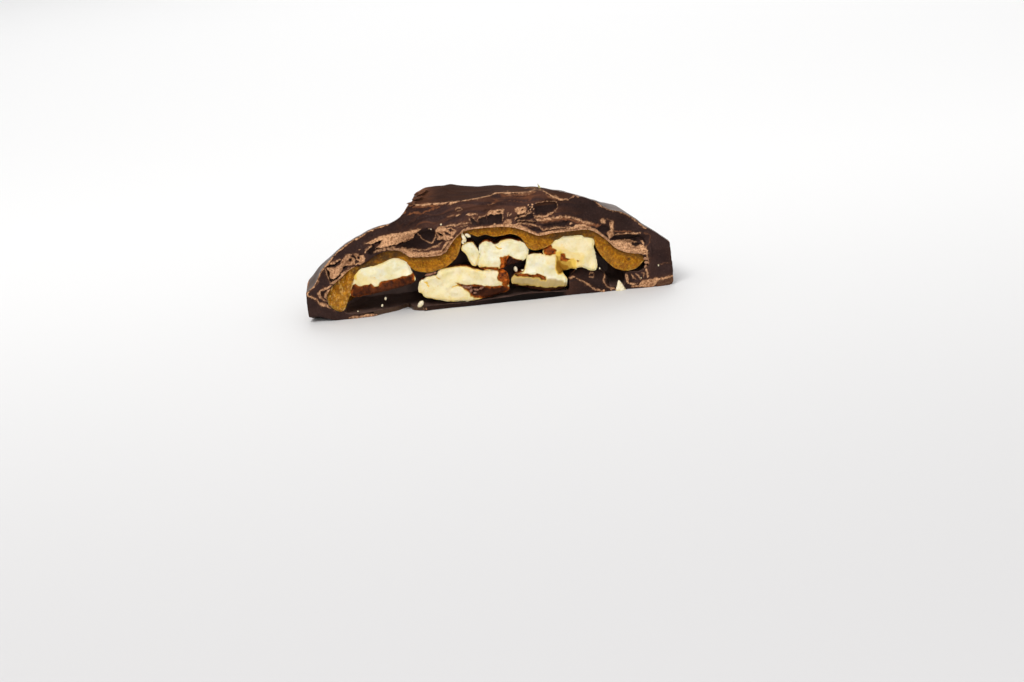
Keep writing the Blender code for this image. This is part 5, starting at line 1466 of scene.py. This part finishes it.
# x, depth, z, half width, half height and tilt in degrees, as drawn
WHITE_CRUMBS = [
    (-12.6, 0.3, 1, 0.42, 0.78, -28), (15.4, 1.2, 5, 0.20, 0.42, 0), (19.6, 0.9, 4.5, 0.17, 0.20, 0),
    (26.8, -0.1, 2.3, 0.17, 0.17, 0), (-18.75, 1.6, 2.3, 0.21, 0.30, -20),
    (-19.4, 0.9, 1.2, 0.17, 0.24, -20), (-23.8, 0.6, 0.6, 0.12, 0.12, 0),
    (4.75, 1.4, 5.6, 0.34, 0.62, 15), (5.9, 0.5, 5.5, 0.22, 0.14, 0),
]
NUT_BITS = [
    (-3.95, 0, 12.3, 0.32, 0.90, 12), (-3.2, 0, 12.7, 0.62, 0.36, -35),
    (-4.15, 0, 11.6, 0.24, 0.36, 0),
]
SKIN_FRAGMENTS = [
    (-4.5, 0.45, 3.4, 0.60, 0.34, -20), (-3.6, 0.45, 3.25, 0.55, 0.30, 15),
    (-3.5, 0.45, 2.6, 0.50, 0.28, 60), (-2.6, 0.45, 2.75, 0.60, 0.22, -10),
    (-1.6, 0.45, 2.9, 0.55, 0.22, 25), (-2.8, 0.45, 2.15, 0.34, 0.18, 0),
    (-10.7, 0.45, 6.15, 0.80, 0.26, 4), (-9.8, 0.45, 6.35, 0.50, 0.20, 10),
]
CAP_FLAKES = [
    (-12.5, 0.5, 19.3, 0.90, 0.11, 8), (-11.5, 2.2, 19.75, 1.00, 0.12, 12),
    (-11.1, 3.6, 20.1, 1.05, 0.13, 18), (-10.8, 4.4, 20.35, 1.10, 0.11, 14),
]
# Lumps of pale chocolate on the broken face: x, z, radius and how far each stands proud
TAN_CRUMBS = [
    (-11.7, 0.15, 0.42, -0.2), (-11.1, 0.25, 0.25, -0.2), (-21.1, -0.15, 0.28, 0),
    (-20.6, -0.2, 0.20, 0), (1.7, 14.3, 0.24, 0.1), (21.3, 0.65, 0.20, 0),
    (27.85, 5.75, 0.42, -0.1), (27.95, 5, 0.40, -0.1), (27.75, 4.3, 0.34, -0.1),
]


def crumb(centre, radii, tilt, seed, detail=2):
    """A small knobbly lump: its vertices and faces."""
    bm = bmesh.new()
    bmesh.ops.create_icosphere(bm, subdivisions=detail, radius=1.0)
    points = np.array([vertex.co[:] for vertex in bm.verts])
    faces = [[vertex.index for vertex in face.verts] for face in bm.faces]
    bm.free()
    lumps = 1 + 0.30 * noise(0.9, seed, *points.T) + 0.12 * noise(0.4, seed + 1, *points.T)
    points = points * lumps[:, None] * np.array(radii)
    turn = math.radians(tilt)
    x = points[:, 0] * math.cos(turn) - points[:, 2] * math.sin(turn)
    z = points[:, 0] * math.sin(turn) + points[:, 2] * math.cos(turn)
    return np.column_stack([x, points[:, 1], z]) + np.array(centre), faces


def spike(centre, width, height, thickness, lean, seed):
    """A pointed splinter standing on its broad end: its vertices and faces."""
    sides = 8
    sections = []
    for share in (0.0, 0.3, 0.6, 0.85, 1.0):
        size = (1 - share) ** 0.8 + 0.04
        ring = []
        for angle in (math.tau * k / sides for k in range(sides)):
            ring.append((
                centre[0] + lean * share + 0.5 * width * size * math.cos(angle),
                centre[1] + 0.5 * thickness * size * math.sin(angle),
                centre[2] + height * share,
            ))
        sections.append(ring)
    rings = np.array(sections)
    rings[:, :, 0] += 0.10 * width * noise(0.6, seed, rings[:, :, 1] * 3, rings[:, :, 2])
    return rings.reshape(-1, 3), ring_faces(len(sections), sides)


def join_lumps(name, lumps, material, slot):
    """One piece from lumps, which are pairs of vertices and faces."""
    vertices, faces, start = [], [], 0
    for points, corners in lumps:
        vertices.append(points)
        faces += [[corner + start for corner in face] for face in corners]
        start += len(points)
    obj = new_object(name, np.vstack(vertices), faces)
    give_materials(obj, material)
    placed(obj, slot, sharp_angle=60)


def drawn_lumps(rows, first_seed, thickness=None):
    """Lumps from rows of x, depth, z, half width, half height and tilt, as drawn."""
    lumps = []
    for x, depth, z, width, height, tilt in rows:
        flat_x, flat_z = level_point(x, z)
        radii = (width, thickness or width, height)
        lumps.append(crumb((flat_x, depth, flat_z), radii, tilt, first_seed + len(lumps)))
    return lumps


def on_break_face(x, z, lift=0.0):
    """A levelled place on the broken face, from a drawn one."""
    flat_x, flat_z = level_point(x, z)
    depth = float(break_depth(np.array([flat_x]), np.array([flat_z]))[0])
    return flat_x, depth - lift, flat_z


def make_crumbs():
    """Bits of nut and chocolate that stick to the broken face and to the wall's foot."""
    cream = plain_crumb("nut_crumb", (0.90, 0.82, 0.62), (0.80, 0.68, 0.40), 0.6)
    white = drawn_lumps(WHITE_CRUMBS, 90)
    for x, z, radius in ((-7.7, 15.05, 0.16), (30, 4.3, 0.15), (-9.55, 14.4, 0.10)):
        radii = (radius, 0.1, radius * 1.2)
        white.append(crumb(on_break_face(x, z, 0.05), radii, 0, 90 + len(white)))
    join_lumps("white_crumbs", white, cream, "pecan")

    x, z = level_point(23, 0.5)
    bits = [spike((x, -0.35, z), 1.75, 1.85, 0.9, -0.1, 101)] + drawn_lumps(NUT_BITS, 111, 0.35)
    join_lumps("nut_bits", bits, cream, "pecan")

    pink = plain_crumb("skin_fragments", (0.36, 0.18, 0.115), (0.14, 0.060, 0.035), 0.6)
    join_lumps("skin_fragments", drawn_lumps(SKIN_FRAGMENTS, 120, 0.3), pink, "pecan")

    lumps = []
    for x, z, radius, lift in TAN_CRUMBS:
        radii = (radius, 0.6 * radius, 0.75 * radius)
        lumps.append(crumb(on_break_face(x, z, lift), radii, 20, 130 + len(lumps)))
    random = np.random.default_rng(17)
    for _ in range(46):
        x = random.uniform(-25.3, -20.6)
        radius = random.uniform(0.05, 0.13)
        z = 0.02 * x + random.uniform(0.06, 0.40)
        lumps.append(crumb(on_break_face(x, z, 0.02), (radius,) * 3, 0, 200 + len(lumps), 1))
    for _ in range(60):
        angle = random.uniform(0.0, math.pi)
        radius = random.uniform(0.05, 0.14)
        out = float(disc_radius(angle)) - random.uniform(-0.02, 0.25)
        place = (out * math.cos(angle), out * math.sin(angle), random.uniform(0.1, 1.2))
        lumps.append(crumb(place, (radius,) * 3, 0, 300 + len(lumps), 1))
    tan = plain_crumb("chocolate_crumb", (0.50, 0.27, 0.15), (0.25, 0.12, 0.065), 0.8)
    join_lumps("tan_crumbs", lumps, tan, "chocolate")


def make_flakes():
    """Thin ragged tips at the left end of the chipped top, and a splinter on its right."""
    dark = plain_crumb("flake_chocolate", (0.170, 0.066, 0.032), (0.045, 0.023, 0.016), 0.8, 0.01)
    join_lumps("cap_flakes", drawn_lumps(CAP_FLAKES, 401, 0.9), dark, "chocolate")
    straw = plain_crumb("straw_splinter", (0.52, 0.46, 0.22), (0.34, 0.28, 0.13), 0.6)
    x, z = level_point(10.15, 19.9)
    join_lumps("splinter", [spike((x, 0.6, z), 0.42, 0.85, 0.16, -0.3, 411)], straw, "chocolate")


# Floor, light and camera


def forwardness(tree, place, near, far):
    """0 nearer than one place along y, 1 beyond the other."""
    source = tree.nodes.new("ShaderNodeTexCoord")
    split = tree.nodes.new("ShaderNodeSeparateXYZ")
    tree.links.new(source.outputs[place], split.inputs[0])
    return ranged(tree, split.outputs["Y"], near, far)


def make_floor():
    half = 4.0
    corners = [(-half, -half, 0), (half, -half, 0), (half, half, 0), (-half, half, 0)]
    mesh = bpy.data.meshes.new("floor")
    mesh.from_pydata(corners, [], [(0, 1, 2, 3)])
    floor = bpy.data.objects.new("floor", mesh)
    bpy.context.scene.collection.objects.link(floor)
    material, tree = new_material("pale_floor", 0.7)
    # Painted shade: the floor is coloured darker in front of the piece and lighter behind it.
    share = forwardness(tree, "Object", -0.24, 0.12)
    colour = mixed(tree, share, (0.57, 0.565, 0.57), (0.86, 0.86, 0.86))
    give_materials(floor, finished(material, colour))


def make_world():
    """Bright all round and above, dimmer on the side that the broken face looks to."""
    world = bpy.data.worlds.new("studio")
    bpy.context.scene.world = world
    world.use_nodes = True
    tree = world.node_tree
    background = tree.nodes["Background"]
    share = forwardness(tree, "Generated", -0.75, 0.25)
    colour = mixed(tree, share, (0.30, 0.30, 0.31), (1.0, 1.0, 1.0))
    tree.links.new(colour, background.inputs["Color"])
    background.inputs["Strength"].default_value = 0.85


def add_light(name, place, aim, size, power, colour=(1, 1, 1)):
    light = bpy.data.lights.new(name, "AREA")
    light.shape = "DISK"
    light.size = size
    light.energy = power
    light.color = colour
    obj = bpy.data.objects.new(name, light)
    obj.location = place
    obj.rotation_euler = (Vector(aim) - Vector(place)).to_track_quat("-Z", "Y").to_euler()
    bpy.context.scene.collection.objects.link(obj)


def make_lights():
    add_light("key", (-0.25, -0.55, 0.75), (0, 0, 0.01), 0.45, 5.0, (1.0, 0.985, 0.96))
    add_light("fill", (0.18, -0.62, 0.10), (0, 0, 0.008), 0.40, 1.3)
    add_light("back", (0.05, 0.65, 0.5), (0, 0, 0.01), 0.6, 1.5)


def make_camera():
    lift = CAMERA_ELEVATION
    right = Vector((1, 0, 0))
    up = Vector((0, math.sin(lift), math.cos(lift)))
    ahead = Vector((0, math.cos(lift), -math.sin(lift)))
    rolled_right = right * math.cos(CAMERA_ROLL) - up * math.sin(CAMERA_ROLL)
    rolled_up = right * math.sin(CAMERA_ROLL) + up * math.cos(CAMERA_ROLL)
    focal = PHOTO_WIDTH * LENS_MM / SENSOR_MM
    across = (AIMED_PIXEL[0] - PHOTO_WIDTH / 2) / focal
    above = (PHOTO_HEIGHT / 2 - AIMED_PIXEL[1]) / focal
    look = (ahead - rolled_right * across - rolled_up * above).normalized()
    side = (rolled_right - look * rolled_right.dot(look)).normalized()
    top = side.cross(look)
    camera = bpy.data.cameras.new("camera")
    camera.lens = LENS_MM
    camera.sensor_width = SENSOR_MM
    camera.clip_start = 0.01
    obj = bpy.data.objects.new("camera", camera)
    bpy.context.scene.collection.objects.link(obj)
    turn = Matrix((side, top, -look)).transposed().to_4x4()
    target = Vector((0, BREAK_Y, AIMED_HEIGHT))
    obj.matrix_world = Matrix.Translation(target - ahead * CAMERA_DISTANCE) @ turn
    bpy.context.scene.camera = obj


def main():
    bpy.context.scene.view_settings.view_transform = "Standard"
    make_camera()
    make_shell()
    make_caramel()
    pecan = pecan_material()
    for number, (node, outline) in enumerate(PECAN_OUTLINES.items()):
        make_pecan(node, outline, 500 + 20 * number, pecan)
    make_crumbs()
    make_flakes()
    make_floor()
    make_world()
    make_lights()


main()
